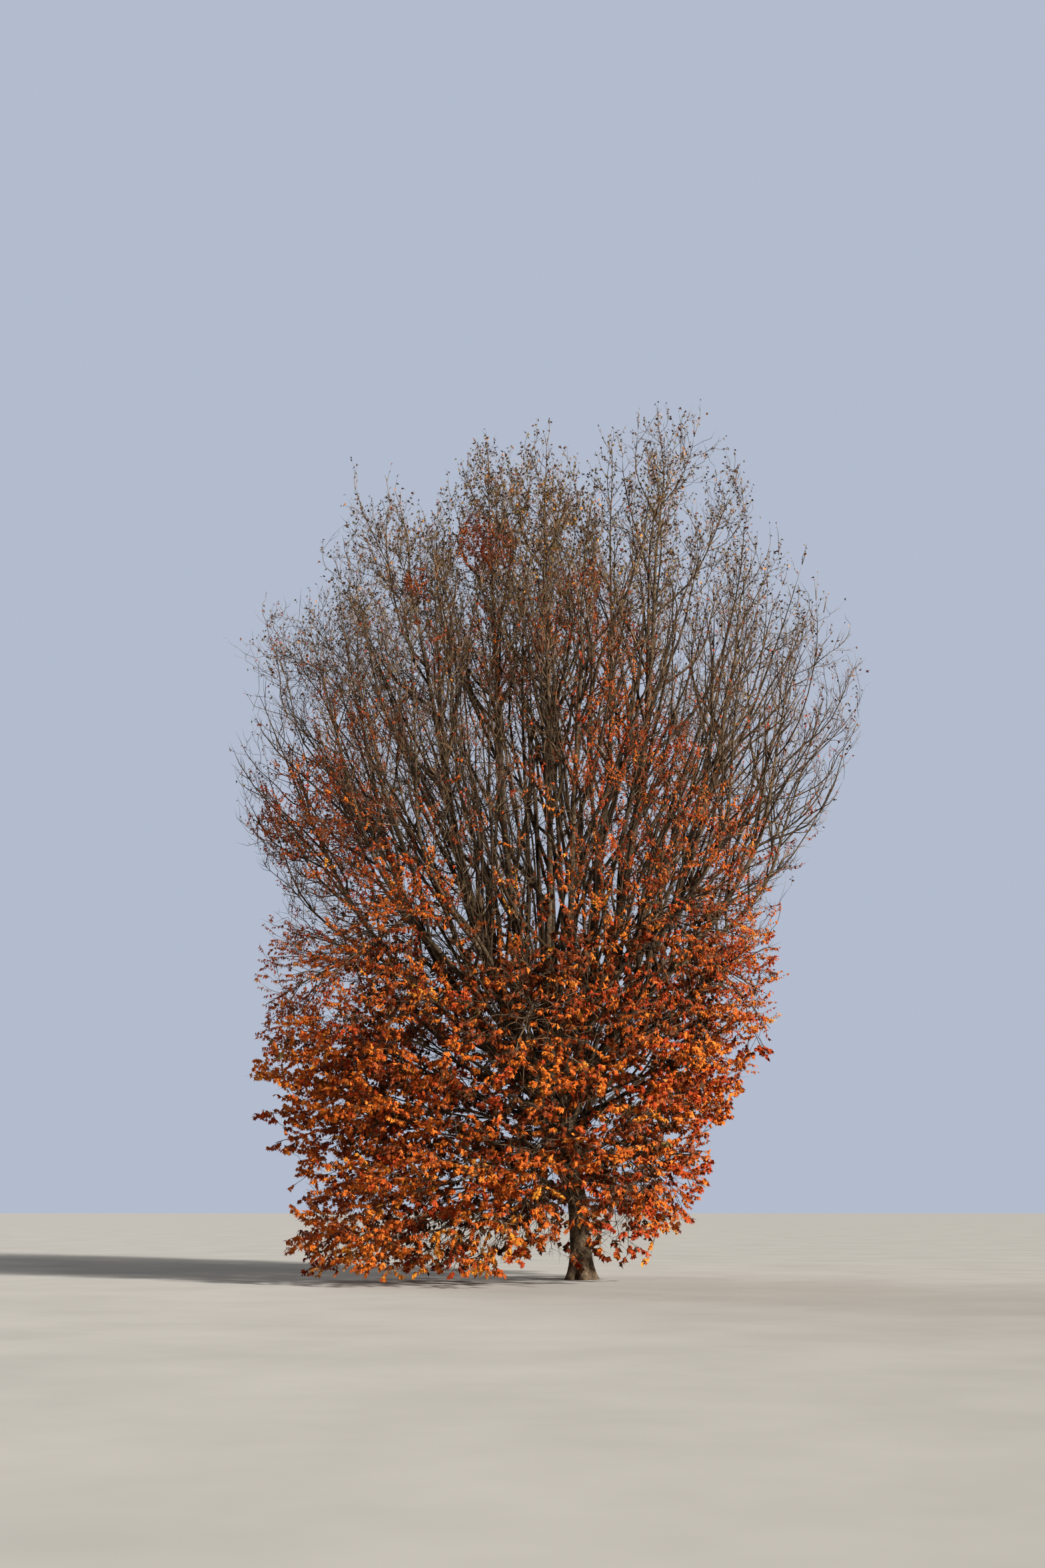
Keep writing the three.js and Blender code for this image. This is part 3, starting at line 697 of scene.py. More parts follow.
def room(spacing, turn, skin):
    """Ends for branches, spread through the masses and gathered into plumes on top."""
    g = lattice(spacing, turn)
    g = g[g[:, 2] > 0.12]
    which, share = place(g)
    inside = (share < skin + bulge(g)) | in_core(g, share)
    g, which, share = g[inside], which[inside], share[inside]
    upper = (np.array([NAMES[k] in UPPER for k in which]) | (share > 1)) & (g[:, 2] > 5)
    d = leader_distance(g)
    out = smooth((share - 0.6) / 0.35) * (share < 1) * tipward(g, which)
    out = np.maximum(out, GATHER * smooth((g[:, 2] - 10) / 3) * (1 - 0.7 * heads(g)))
    chance = np.where(upper, 1 - out * (1 - np.exp(-((d / 0.7) ** 2))), 1.0)
    chance = chance * (1 - 0.6 * in_fan(g, share)) * (0.72 + 0.28 * smooth((g[:, 2] - 10) / 3))
    chance = chance * np.where(upper, fullness(g), 1.0)
    keep = rng.random(len(g)) < chance
    return g[keep], which[keep], share[keep], upper[keep]


def branch(ends, upper, nodes, angle, spread, scale, thick, tip, near):
    """Branches out to the ends, from whichever wood suits each best."""
    want = np.where(upper, angle[0], angle[1]) + rng.normal(0, 8, len(ends))
    i, far = wood.parents(ends, want, spread, scale, near, np.where(upper, 1.0, 0.25))
    ok = far < 4.2
    ends, upper, i, far = ends[ok], upper[ok], i[ok], far[ok]
    p, t, pr = wood.P[i], wood.T[i], wood.R[i]
    to = unit(ends - p)
    aside = unit(to - (to * t).sum(1, keepdims=True) * t)
    d0 = unit(to + 0.36 * aside)
    up = np.where(upper, 0.6, 0.02)[:, None]
    droop = np.where(upper, 0.0, 0.3)[:, None] * outward(ends)
    d1 = unit(0.65 * to + up * UP + droop)
    pts = grow(p, ends, d0, d1, nodes, 0.065)
    base = np.minimum(0.7 * pr, thick[0] + thick[1] * far)
    s = np.linspace(0, 1, nodes)
    r = base[:, None] + (tip - base[:, None]) * s[None, :] ** 0.9
    return pts, r, upper


ends, which, share, upper = room(0.79, 31, 0.96)
branches_a = branch(ends, upper, 7, (31, 36), 9, 1.6, (0.0105, 0.0072), 0.0062, 56)
wood.add(branches_a[0][:, 2:], branches_a[1][:, 2:], 2)
wood.settle()
ends, which, share, upper = room(0.53, 57, 0.985)
low_right = smooth((ends[:, 0] - 0.8) / 0.8) * smooth((4.4 - ends[:, 2]) / 0.8)
full = np.maximum(smooth((-3.2 - ends[:, 0]) / 1.2), low_right)
some = upper | (rng.random(len(ends)) < 0.76 + 0.24 * full)
ends, upper = ends[some], upper[some]
branches_b = branch(ends, upper, 4, (38, 42), 12, 0.9, (0.0085, 0.006), 0.005, 56)
print("limbs", len(limb_sets), "branches", len(branches_a[0]), len(branches_b[0]))

# The twigs: in pairs along every branch and along the outer half of every limb.


def along_paths(pts, radii, start, spacing):
    """Pairs of places along paths (N, S, 3): (path, share, point, direction, radius, side)."""
    n, nodes, _ = pts.shape
    length = np.linalg.norm(np.diff(pts, axis=1), axis=2).sum(1)
    high = smooth((pts[:, -1, 2] - 10) / 4)
    spacing = spacing * (1.14 + 0.2 * high - 0.5 * smooth((pts[:, -1, 2] - 15.5) / 2))
    end = pts[:, -1]
    left = smooth((-2.0 - end[:, 0]) / 1.0) * smooth((end[:, 2] - 12.8) / 1.0) * smooth((17.0 - end[:, 2]) / 1.0)
    spacing = spacing * (1 - 0.28 * heads(end)) * (1 - 0.28 * left)
    pairs = np.maximum(1, np.round(length * (1 - start) / spacing + rng.uniform(-0.4, 0.4, n)))
    pairs = pairs.astype(int)
    path = np.repeat(np.arange(n), pairs)
    first = np.concatenate([[0], np.cumsum(pairs)[:-1]])
    order = np.arange(len(path)) - first[path]
    share = start + (1 - start) * (order + rng.uniform(0.15, 0.85, len(path))) / pairs[path]
    path, order, share = np.repeat(path, 2), np.repeat(order, 2), np.repeat(share, 2)
    share = np.clip(share + rng.normal(0, 0.012, len(share)), 0.02, 0.985)
    side = np.tile([0, 1], len(path) // 2)
    x = share * (nodes - 1)
    i = np.clip(x.astype(int), 0, nodes - 2)
    f = (x - i)[:, None]
    p = pts[path, i] * (1 - f) + pts[path, i + 1] * f
    t = unit(pts[path, i + 1] - pts[path, i])
    r = radii[path, i] * (1 - f[:, 0]) + radii[path, i + 1] * f[:, 0]
    return path, order, share, side, p, t, r


def twigs_from(pts, radii, upper, start, spacing, long):
    path, order, share, side, p, t, r = along_paths(pts, radii, start, spacing)
    up = upper[path]
    a = unit(np.cross(t, UP + 0.01))
    b = np.cross(t, a)
    phi = rng.uniform(0, 6.28, len(pts))[path] + order * (math.pi / 2) + side * math.pi
    flat = side * math.pi + 0.35 * (order % 2)  # leafy sprays lie level
    phi = np.where(up, phi, flat) + rng.normal(0, 0.32, len(path))
    beta = np.radians(np.where(up, rng.uniform(28, 60, len(path)), rng.uniform(36, 62, len(path))))
    d0 = unit(
        t * np.cos(beta)[:, None]
        + (a * np.cos(phi)[:, None] + b * np.sin(phi)[:, None]) * np.sin(beta)[:, None]
    )
    size = long * (1.15 - 0.65 * share) * rng.uniform(0.55, 1.25, len(path))
    size = size * np.where(up, 1.2, 0.95)
    lift = np.where(up, 0.3, -0.02)[:, None] * UP
    end = p + size[:, None] * unit(0.8 * d0 + 0.25 * t + lift)
    d1 = unit(0.5 * d0 + 0.4 * t + 1.7 * lift)
    return path, p, end, d0, d1, r, up, size


def reach_here(points, which):
    return np.linalg.norm(points - MIDDLES[which], axis=1).clip(1.0, None)


def keep_inside(end, up):
    which, share = place(end)
    d = leader_distance(end)
    out = smooth((share - 0.75) / 0.3) * tipward(end, which)
    out = np.maximum(out, GATHER * smooth((end[:, 2] - 10) / 3) * (1 - 0.7 * heads(end)))
    chance = np.where(up, 1 - out * (1 - np.exp(-((d / 0.8) ** 2))), 1.0)
    chance = chance * np.where(up, fullness(end), 1.0)
    chance = chance * (1 - 0.5 * in_fan(end, share))
    limit = np.where(up, 1.0 + 0.24 / reach_here(end, which), 1.09)
    ok = (share < limit + bulge(end)) | in_core(end, share)
    ok &= (rng.random(len(end)) < chance) & (end[:, 2] > 0.1)
    ok &= (end > np.array(cad_low) - 0.15).all(1) & (end < np.array(cad_high) + 0.2).all(1)
    return ok, which, share


sources = []
for pts, r, up in (branches_a, branches_b):
    sources.append((pts, r, up, 0.22))
long_limbs = [(resample(p, r, 15)[:2], up) for p, r, up in limb_sets]
sources.append(
    (
        np.stack([q[0][0] for q in long_limbs]),
        np.stack([q[0][1] for q in long_limbs]),
        np.array([q[1] for q in long_limbs]),
        0.55,
    )
)
tops = [(resample(BOUGH[n][0][36:], BOUGH[n][1][36:], 15)[:2], n in UPPER) for n in NAMES]
sources.append(
    (
        np.stack([q[0][0] for q in tops]),
        np.stack([q[0][1] for q in tops]),
        np.array([q[1] for q in tops]),
        0.45,
    )
)

T_P, T_E, T_D0, T_D1, T_R, T_UP, T_SPRAY, T_SHARE = [], [], [], [], [], [], [], []
spray_base = 0
for k, (pts, r, up, start) in enumerate(sources):
    path, p, end, d0, d1, pr, u, size = twigs_from(
        pts, r, up, start, (0.30, 0.27, 0.45, 0.45)[k], (0.6, 0.5, 0.7, 0.7)[k]
    )
    ok, which, share = keep_inside(end, u)
    T_P.append(p[ok])
    T_E.append(end[ok])
    T_D0.append(d0[ok])
    T_D1.append(d1[ok])
    T_R.append(pr[ok])
    T_UP.append(u[ok])
    T_SPRAY.append(path[ok] + spray_base)
    T_SHARE.append(share[ok])
    spray_base += len(pts)
# A long leading shoot stands on the tip of every high limb and bough.
lead = [(q[-1], unit(q[-1] - q[-3]), r[-2]) for q, r, up in limb_sets if up and q[-1][2] > 14.2]
lead += [(q[0][-1], unit(q[0][-1] - q[0][-3]), q[1][-2]) for q, up in tops if up and q[0][-1][2] > 14.2]
for q, t, r in lead:
    for k in range(2):
        long = rng.uniform(0.45, 0.95) * (1 - 0.35 * k)
        way = unit(0.55 * t + 0.75 * UP + rng.normal(0, 0.16, 3))
        T_P.append(q[None])
        T_E.append((q + long * way)[None])
        T_D0.append(unit(t + 0.3 * way)[None])
        T_D1.append(unit(way + 0.4 * UP)[None])
        T_R.append(np.array([r * 1.1]))
        T_UP.append(np.array([True]))
        T_SPRAY.append(np.array([spray_base]))
        T_SHARE.append(np.array([1.0]))
    spray_base += 1
T_P, T_E, T_D0, T_D1 = map(np.concatenate, (T_P, T_E, T_D0, T_D1))
T_R, T_UP, T_SPRAY, T_SHARE = map(np.concatenate, (T_R, T_UP, T_SPRAY, T_SHARE))
twig_pts = grow(T_P, T_E, T_D0, T_D1, 3, 0.05)
twig_long = np.linalg.norm(T_E - T_P, axis=1)
T_STRAIGHT = ~T_UP | (twig_long < 0.3)
twig_r = np.minimum(0.9 * T_R, 0.0082 + 0.0072 * twig_long)
twig_rad = np.stack([twig_r, twig_r * 0.75, twig_r * 0.35], 1)
straight = T_STRAIGHT
twig_pts[straight, 1] = (twig_pts[straight, 0] + twig_pts[straight, 2]) / 2
print("twigs", len(twig_pts))

# The spurs: short straight shoots on the twigs, closest at the top.


def spurs_on(pts, rad, up, per, long):
    n = rng.poisson(np.where(up, per[0] * (1 + 0.5 * smooth((pts[:, 1, 2] - 12) / 2)), per[1]))
    which = np.repeat(np.arange(len(pts)), n)
    s = rng.uniform(0.15, 0.95, len(which))[:, None]
    a, b, c = (pts[which, k] for k in range(3))
    p = np.where(s < 0.5, a + (b - a) * 2 * s, b + (c - b) * (2 * s - 1))
    t = unit(np.where(s < 0.5, b - a, c - b))
    e1 = unit(np.cross(t, UP + 0.01))
    e2 = np.cross(t, e1)
    phi = rng.uniform(0, 6.28, len(which))[:, None]
    beta = np.radians(rng.uniform(30, 65, len(which)))[:, None]
    way = t * np.cos(beta) + (e1 * np.cos(phi) + e2 * np.sin(phi)) * np.sin(beta)
    way = unit(way + np.where(up[which], 0.35, 0.0)[:, None] * UP)
    size = long * rng.uniform(0.45, 1.3, len(which)) * (1.1 - 0.5 * s[:, 0])
    r = np.minimum(rad[which, 0] * 0.75, 0.0072)
    return np.stack([p, p + way * size[:, None]], 1), np.stack([r, r * 0.2], 1), which


spur_pts, spur_rad, spur_of = spurs_on(twig_pts, twig_rad, T_UP, (0.85, 0.0), 0.22)


def shoots_along(pts, rad, per_metre, long):
    """Short shoots standing straight on the limbs and branches of the fan."""
    n, nodes, _ = pts.shape
    length = np.linalg.norm(np.diff(pts, axis=1), axis=2).sum(1)
    which = np.repeat(np.arange(n), rng.poisson(length * per_metre))
    x = rng.uniform(0.12, 0.97, len(which)) * (nodes - 1)
    i = np.clip(x.astype(int), 0, nodes - 2)
    f = (x - i)[:, None]
    p = pts[which, i] * (1 - f) + pts[which, i + 1] * f
    r = rad[which, i] * (1 - f[:, 0]) + rad[which, i + 1] * f[:, 0]
    t = unit(pts[which, i + 1] - pts[which, i])
    e1 = unit(np.cross(t, UP + 0.01))
    e2 = np.cross(t, e1)
    phi = rng.uniform(0, 6.28, len(which))[:, None]
    beta = np.radians(rng.uniform(32, 72, len(which)))[:, None]
    way = unit(t * np.cos(beta) + (e1 * np.cos(phi) + e2 * np.sin(phi)) * np.sin(beta) + 0.2 * UP)
    end = p + way * (long * rng.uniform(0.4, 1.5, len(which)))[:, None]
    r = np.minimum(r * 0.6, 0.0072)
    share = place(end)[1]
    ok = (p[:, 2] > 5.5) & ((share < 1.03) | in_core(end, share))
    return np.stack([p, end], 1)[ok], np.stack([r, r * 0.3], 1)[ok]


for pts, rad, per_metre in (
    (np.stack([q[0][0] for q in long_limbs if q[1]]), np.stack([q[0][1] for q in long_limbs if q[1]]), 1.8),
    (branches_a[0][branches_a[2]], branches_a[1][branches_a[2]], 1.3),
):
    more_pts, more_rad = shoots_along(pts, rad, per_metre, 0.3)
    spur_pts = np.concatenate([spur_pts, more_pts])
    spur_rad = np.concatenate([spur_rad, more_rad])
print("spurs", len(spur_pts))

# ------------------------------------------------------------------ where the leaves are

# The top of the dense leafy body over x, and the leafy tufts above it: x, z, radius, how leafy.
BODY_X = [-8, -6, -5, -4, -3, -2, -1, 0, 1, 2, 3, 4, 5]
BODY_TOP = [6.8, 7.1, 8.1, 8.2, 7.1, 6.9, 7.3, 8.0, 8.2, 8.4, 8.8, 8.4, 7.4]
TUFTS = np.array([
    (-4.9, 9.3, 1.2, 0.8), (-6.0, 10.1, 1.0, 2.2), (-4.3, 10.4, 1.0, 0.15), (-4.6, 12.0, 1.2, 0.24),
    (2.9, 9.4, 1.2, 0.6), (1.7, 11.1, 1.0, 1.3), (0.7, 11.3, 1.0, 1.1), (0.8, 12.4, 0.85, 2.2),
    (0.9, 13.9, 0.8, 2.4), (0.2, 15.3, 0.65, 1.5), (-2.1, 16.4, 0.7, 1.5), (-3.7, 15.4, 0.4, 0.7),
    (1.5, 13.3, 0.5, 0.6), (-0.4, 14.3, 0.65, 0.6), (-2.1, 14.6, 0.6, 0.6), (-1.8, 13.1, 0.8, 0.6),
    (-3.0, 13.9, 0.6, 0.4), (-1.0, 11.1, 0.8, 0.26), (-3.0, 10.2, 0.9, 0.22), (0.1, 12.1, 0.7, 0.4),
    (1.0, 9.3, 1.3, 1.0), (-1.2, 7.0, 1.2, 0.7), (-4.0, 8.4, 1.2, 0.7), (0.2, 8.0, 1.2, 0.8),
    (-3.9, 12.4, 0.7, 0.3), (-2.2, 11.9, 0.6, 0.24),
])  # fmt: skip


def leafiness(p):
    """How many of the twigs at each point still carry their leaves, from 0 to 1."""
    k = 36.2 / (36.2 + p[:, 1])  # the tufts lie where they show from the front
    x, z = (p[:, 0] + 1.216) * k - 1.216, (p[:, 2] - 1.38) * k + 1.38
    wave = noise(p * np.array([0.55, 0.4, 0.55]), 31)
    body = smooth((np.interp(x, BODY_X, BODY_TOP) + 0.9 * wave - z) / 1.3 + 0.5)
    tilt = z + 0.22 * np.hypot(p[:, 0], p[:, 1])
    layer = noise(np.stack([p[:, 0] * 0.62, p[:, 1] * 0.62, tilt * 1.5], 1), 83)
    layer = 0.46 + 0.86 * smooth(layer * 1.5 + 0.5)
    dip = np.exp(-(((x + 1.4) / 1.7) ** 2)) * smooth((z - 4.4) / 1.2)
    total = (0.86 - 0.2 * smooth((z - 4) / 1.5)) * body * (1 - 0.45 * dip) * layer
    for k, (tx, tz, tr, much) in enumerate(TUFTS):
        d2 = ((x - tx) ** 2 + (z - tz) ** 2) / tr**2
        ty = -2.4 * scatter01(k, 3, 5, 11) - 0.2 - 0.9 * (tz < 12)  # in front, and again behind
        deep = np.minimum(np.abs(p[:, 1] - ty), np.abs(p[:, 1] - ty - 4.4)) / (1.1 + 0.6 * tr)
        total = np.maximum(total, much * np.exp(-(d2**1.5)) * np.exp(-0.5 * deep**2) * (1.25 + 0.5 * wave))
    scatter = 0.055 * smooth((z - 7) / 2) * smooth((14.5 - z) / 2) * smooth((6.0 + x) / 1.5)
    total = np.maximum(total, scatter) * (1 + 1.1 * smooth((z - 8) / 2) * (1 - 0.75 * smooth((z - 13) / 2)))
    left = smooth((-3.0 - x) / 1.2) * smooth((7.0 - z) / 2)
    right = smooth((x - 0.6) / 0.8) * smooth((4.4 - z) / 1.0)
    waist = smooth((z - 4.6) / 1.0) * smooth((10.5 - z) / 1.5)
    shoulder = smooth((x - 1.8) / 0.8) * smooth((8.5 - z) / 1.5)
    rear = smooth((p[:, 1] - 1.5) / 1.5)
    more = 0.6 * left + 0.35 * right + 0.25 * waist + 0.45 * shoulder
    return total * (1 + more) * (1 - 0.16 * rear)


middle = twig_pts[:, 1]
depth = (1 - outline_share(middle)) * 5.6
shell = 0.34 + 0.66 * smooth((3.1 - depth) / 1.5)
front = smooth(-middle[:, 1] / 1.5)  # the fan's middle is leafy towards the front
shell = np.where(middle[:, 2] > 5, np.maximum(shell, 0.8 * front), shell)
field = leafiness(middle) * np.where(middle[:, 2] < 9, shell, 0.35 + 0.65 * shell)
mood = rng.random(spray_base)[T_SPRAY]  # each spray keeps or drops its leaves together
clump = noise(middle * 0.9, 47) * 0.5 + 0.5
vary = 0.5 * (mood - 0.5) + 0.4 * (clump - 0.5)
sharp = 1.1 + 1.5 * smooth((middle[:, 2] - 8) / 3)  # the tufts high up are tight
chance = field * (1.1 + sharp * vary)
tight = field + 0.5 * (clump - 0.5) + 0.8 * (mood - 0.5)
tight = smooth((tight - 0.62) / 0.2 + 0.5) * smooth(field / 0.15)
aloft = smooth((middle[:, 2] - 8.5) / 2)
chance = chance * (1 - aloft) + np.maximum(tight, 0.06 * chance) * aloft
leafy = rng.random(len(middle)) < chance
dry = 0.4 + 0.7 * smooth((middle[:, 2] - 12) / 4) * (1 + 0.7 * smooth((middle[:, 0] + 4) / 2))
dry = dry * (0.3 + 1.5 * (noise(middle * 0.8, 53) * 0.5 + 0.5) ** 1.5 + 0.5 * (mood > 0.6))
tips = (~leafy) & T_UP & (rng.random(len(middle)) < dry)

# ------------------------------------------------------------------ the leaf

# Half of a five-lobed leaf, from the stalk round to the point, on a length of 1.
LOBES = np.array([(0.42, 0.08), (0.29, 0.29), (0.50, 0.66), (0.17, 0.61)])
MID_LOBES = np.array([(0.40, 0.14), (0.50, 0.66), (0.17, 0.60)])  # a plainer one
DRY_LOBES = np.array([(0.42, 0.30), (0.15, 0.50)])  # a small dry one has three
INNER_LOBES = np.array([(0.5, 0.5), (0.2, 0.7)])  # and so has one deep inside
SMALL_LOBES = np.array([(0.44, 0.42)])  # the smallest dry ones are plain and folded
HIGH_LOBES = np.array([(0.40, 0.36), (0.16, 0.52)])  # and a curled one high up


def leaf_meshes(base, way, face, size, fold, curl, lobes=LOBES):
    n, m = len(base), len(lobes)
    across = unit(np.cross(way, face))
    face = np.cross(across, way)
    x = np.concatenate([[0], lobes[:, 0], [0], -lobes[:, 0]])
    y = np.concatenate([[0], lobes[:, 1], [1], lobes[:, 1]])
    narrow = 1 / np.sqrt(1 + fold**2)  # a folded leaf keeps its own width
    x = x[None] * narrow[:, None]
    y = np.broadcast_to(y, x.shape)
    z = -fold[:, None] * np.abs(x) - curl[:, None] * y**2
    v = base[:, None, :] + size[:, None, None] * (
        across[:, None, :] * x[:, :, None]
        + way[:, None, :] * y[:, :, None]
        + face[:, None, :] * z[:, :, None]
    )
    one = [(0, k, k + 1) for k in range(1, m + 1)]
    one += [(0, m + 1 + k, m + k) for k in range(2, m + 1)] + [(0, m + 1, 2 * m + 1)]
    tris = np.array(one)[None] + (np.arange(n) * (2 * m + 2))[:, None, None]
    return v.reshape(-1, 3), tris.reshape(-1, 3)


def leaves_on(twigs, per, small):
    """Leaves in pairs along the chosen twigs: base, midrib, face, size and spray."""
    count = rng.integers(per[0], per[1] + 1, len(twigs))
    if small:  # the topmost shoots keep the most of them
        count = count + (rng.random(len(twigs)) < smooth((twig_pts[twigs, 1, 2] - 14) / 3)) * rng.integers(1, 3, len(twigs))
    which = np.repeat(twigs, count)
    first = np.concatenate([[0], np.cumsum(count)[:-1]])
    order = np.arange(len(which)) - np.repeat(first, count)
    many = np.repeat(count, count)
    s = np.clip(0.28 + 0.74 * (order + 0.5) / many + rng.normal(0, 0.03, len(which)), 0.2, 1.0)
    if small:
        s = np.where(order == 0, 1.0, rng.uniform(0.1, 0.95, len(which)))
    a, b, c = (twig_pts[which, k] for k in range(3))
    f = s[:, None]
    base = np.where(f < 0.5, a + (b - a) * 2 * f, b + (c - b) * (2 * f - 1))
    t = unit(np.where(f < 0.5, b - a, c - b))
    side = unit(np.cross(t, UP + 0.01))
    side = side * np.where(order % 2 == 0, 1.0, -1.0)[:, None]
    spin = rng.normal(0, 0.35, (len(which), 3))
    out = outward(base)
    hang = (rng.random(len(which)) < 0.7)[:, None]
    way = np.where(
        hang,
        -1.0 * UP + 0.45 * side + 0.25 * out + spin,
        0.8 * side + 0.45 * t + 0.2 * out - 0.28 * UP + spin,
    )
    way = unit(way)
    face = np.where(hang, 0.9 * out + 0.2 * side, 0.8 * UP + 0.45 * out)
    face = unit(face + rng.normal(0, 0.42, (len(which), 3)))
    face = unit(face - (face * way).sum(1, keepdims=True) * way)
    size = rng.uniform(0.08, 0.125, len(which)) * (1 - 0.14 * smooth((base[:, 2] - 5.5) / 3))
    if small:
        size = rng.uniform(0.06, 0.105, len(which))
    fold = np.where(hang[:, 0], rng.uniform(0.4, 1.9, len(which)), rng.uniform(-0.1, 0.6, len(which)))
    curl = np.where(hang[:, 0], rng.uniform(0.0, 0.5, len(which)), rng.uniform(-0.05, 0.35, len(which)))
    return base, way, face, size, fold, curl, T_SPRAY[which]


base, way, face, size, fold, curl, spray = leaves_on(np.where(leafy)[0], (8, 11), False)
dry_leaves = leaves_on(np.where(tips)[0], (1, 3), True)[:6]
depth = (1 - outline_share(base)) * 5.6
# The leaves deep inside the lower crown are larger, and most of them take dark tints further down, as painted shade.
inner = (depth > 1.3) & (base[:, 2] < 8) & (rng.random(len(base)) < smooth((depth - 1.0) / 1.2))
inner_keep = ~inner | (rng.random(len(base)) < 0.64)
inner_keep &= base[:, 2] > np.where(inner, 1.9, 1.5) * size  # none reaches into the ground
base, way, face, size, fold, curl, spray, inner = (
    a[inner_keep] for a in (base, way, face, size, fold, curl, spray, inner)
)
near = base[:, 2] + 0.7 * noise(base * 0.7, 71) < 2.0  # nearest the eye, with all five lobes
high = base[:, 2] + 0.8 * noise(base * 0.6, 77) > 4.7
size = np.where(inner, size * 1.55, np.where(high, size * 0.95, size))
fold = np.where(high, rng.uniform(0.5, 1.7, len(base)), fold)
print("leaves", len(base), "inner", inner.sum(), "dry", len(dry_leaves[0]))

# ------------------------------------------------------------------ materials


def base_material(name, dark, light, scale, rough, bump=None, spread=0.35, detail=3.0, glow=0.0):
    """A matt surface that shades between two near colours, with fine relief."""
    m = bpy.data.materials.new(name)
    m.use_nodes = True
    nt = m.node_tree
    nt.nodes.clear()
    out = nt.nodes.new("ShaderNodeOutputMaterial")
    bsdf = nt.nodes.new("ShaderNodeBsdfPrincipled")
    coord = nt.nodes.new("ShaderNodeTexCoord")
    grain = nt.nodes.new("ShaderNodeTexNoise")
    ramp = nt.nodes.new("ShaderNodeValToRGB")
    grain.inputs["Scale"].default_value = scale
    grain.inputs["Detail"].default_value = detail
    grain.inputs["Roughness"].default_value = 0.6
    ramp.color_ramp.elements[0].position = 0.5 - spread / 2
    ramp.color_ramp.elements[1].position = 0.5 + spread / 2
    ramp.color_ramp.elements[0].color = (*dark, 1)
    ramp.color_ramp.elements[1].color = (*light, 1)
    nt.links.new(coord.outputs["Object"], grain.inputs["Vector"])
    nt.links.new(grain.outputs["Fac"], ramp.inputs["Fac"])
    nt.links.new(ramp.outputs["Color"], bsdf.inputs["Base Color"])
    bsdf.inputs["Roughness"].default_value = rough
    bsdf.inputs["Specular IOR Level"].default_value = 0.3
    if bump:
        fine = nt.nodes.new("ShaderNodeTexNoise")
        fine.inputs["Scale"].default_value = bump[0]
        fine.inputs["Detail"].default_value = 4.0
        b = nt.nodes.new("ShaderNodeBump")
        b.inputs["Strength"].default_value = bump[1]
        b.inputs["Distance"].default_value = bump[2]
        nt.links.new(coord.outputs["Object"], fine.inputs["Vector"])
        nt.links.new(fine.outputs["Fac"], b.inputs["Height"])
        nt.links.new(b.outputs["Normal"], bsdf.inputs["Normal"])
    nt.links.new(bsdf.outputs["BSDF"], out.inputs["Surface"])
    return m


def srgb(r, g, b):
    """A screen colour from 0 to 255 as the linear one that shaders take."""
    return tuple(((c / 255 + 0.055) / 1.055) ** 2.4 if c > 10 else c / 255 / 12.92 for c in (r, g, b))


BARK = base_material("bark", srgb(34, 25, 17), srgb(122, 102, 79), 14, 0.9, (120, 0.7, 0.006), 0.4)
# Limb and twig bark varies at random, in patches a few tens of centimetres across, from near black to pale brown:
# partly the wood's own tone, partly painted shade and painted sunlight.
LIMB_BARK_AND_PAINTED_LIGHT = base_material("limb_bark_and_painted_light", srgb(14, 8, 4), srgb(92, 72, 51), 4, 0.9, (90, 0.5, 0.004), 0.36)
TWIG_BARK_AND_PAINTED_LIGHT = base_material("twig_bark_and_painted_light", srgb(14, 8, 4), srgb(158, 127, 97), 3.2, 0.9, (150, 0.3, 0.002), 0.3)

TINTS = {
    "bright_orange": (srgb(185, 81, 16), srgb(220, 131, 48)),
    "deep_orange": (srgb(160, 64, 14), srgb(195, 103, 36)),
    "orange_red": (srgb(148, 46, 15), srgb(184, 74, 28)),
    "rust": (srgb(112, 46, 20), srgb(144, 68, 32)),
    "gold": (srgb(198, 116, 29), srgb(222, 148, 52)),
    "brown": (srgb(56, 34, 20), srgb(96, 64, 38)),
    "olive": (srgb(84, 71, 38), srgb(128, 108, 64)),
    "dull_orange": (srgb(134, 64, 27), srgb(172, 92, 44)),
}
TINT = list(TINTS)

# ------------------------------------------------------------------ pieces


def bark_relief(angle_points, amount):
    """Long fissures with plates between them."""
    groove = np.exp(-((noise(angle_points, 5) / 0.16) ** 2))
    fine = noise(angle_points * np.array([2.3, 2.3, 3.1]) + 17.0, 6)
    return amount * (0.35 * fine - groove)


def trunk_mesh():
    rings, sides = 100, 72
    z = TRUNK_HEIGHT * np.linspace(0, 1, rings) ** 1.35
    a = np.arange(sides) * 2 * math.pi / sides
    zz, aa = np.meshgrid(z, a, indexing="ij")
    r = trunk_radius(zz, aa)
    pts = np.stack([np.cos(aa) * 7.5, np.sin(aa) * 7.5, zz / 0.17], -1)
    r = r + bark_relief(pts, 0.011)
    dome = np.sqrt(np.clip(1 - ((zz - 3.3) / 0.62).clip(0, 1) ** 2, 0.0004, 1))
    r = r * dome
    mid = trunk_point(zz)
    v = mid + np.stack([np.cos(aa) * r, np.sin(aa) * r, 0 * zz], -1)
    v = v.reshape(-1, 3)
    i, j = np.meshgrid(np.arange(rings - 1), np.arange(sides), indexing="ij")
    p, q = i * sides + j, i * sides + (j + 1) % sides
    t = np.concatenate(
        [np.stack([p, q, q + sides], -1).reshape(-1, 3), np.stack([p, q + sides, p + sides], -1).reshape(-1, 3)]
    )
    foot = len(v)
    v = np.vstack([v, [[0, 0, 0]], trunk_point(TRUNK_HEIGHT)[None]])
    k = np.arange(sides)
    base_fan = np.stack([np.full(sides, foot), (k + 1) % sides, k], -1)
    top = (rings - 1) * sides
    top_fan = np.stack([np.full(sides, foot + 1), top + k, top + (k + 1) % sides], -1)
    return v, np.concatenate([t, base_fan, top_fan])


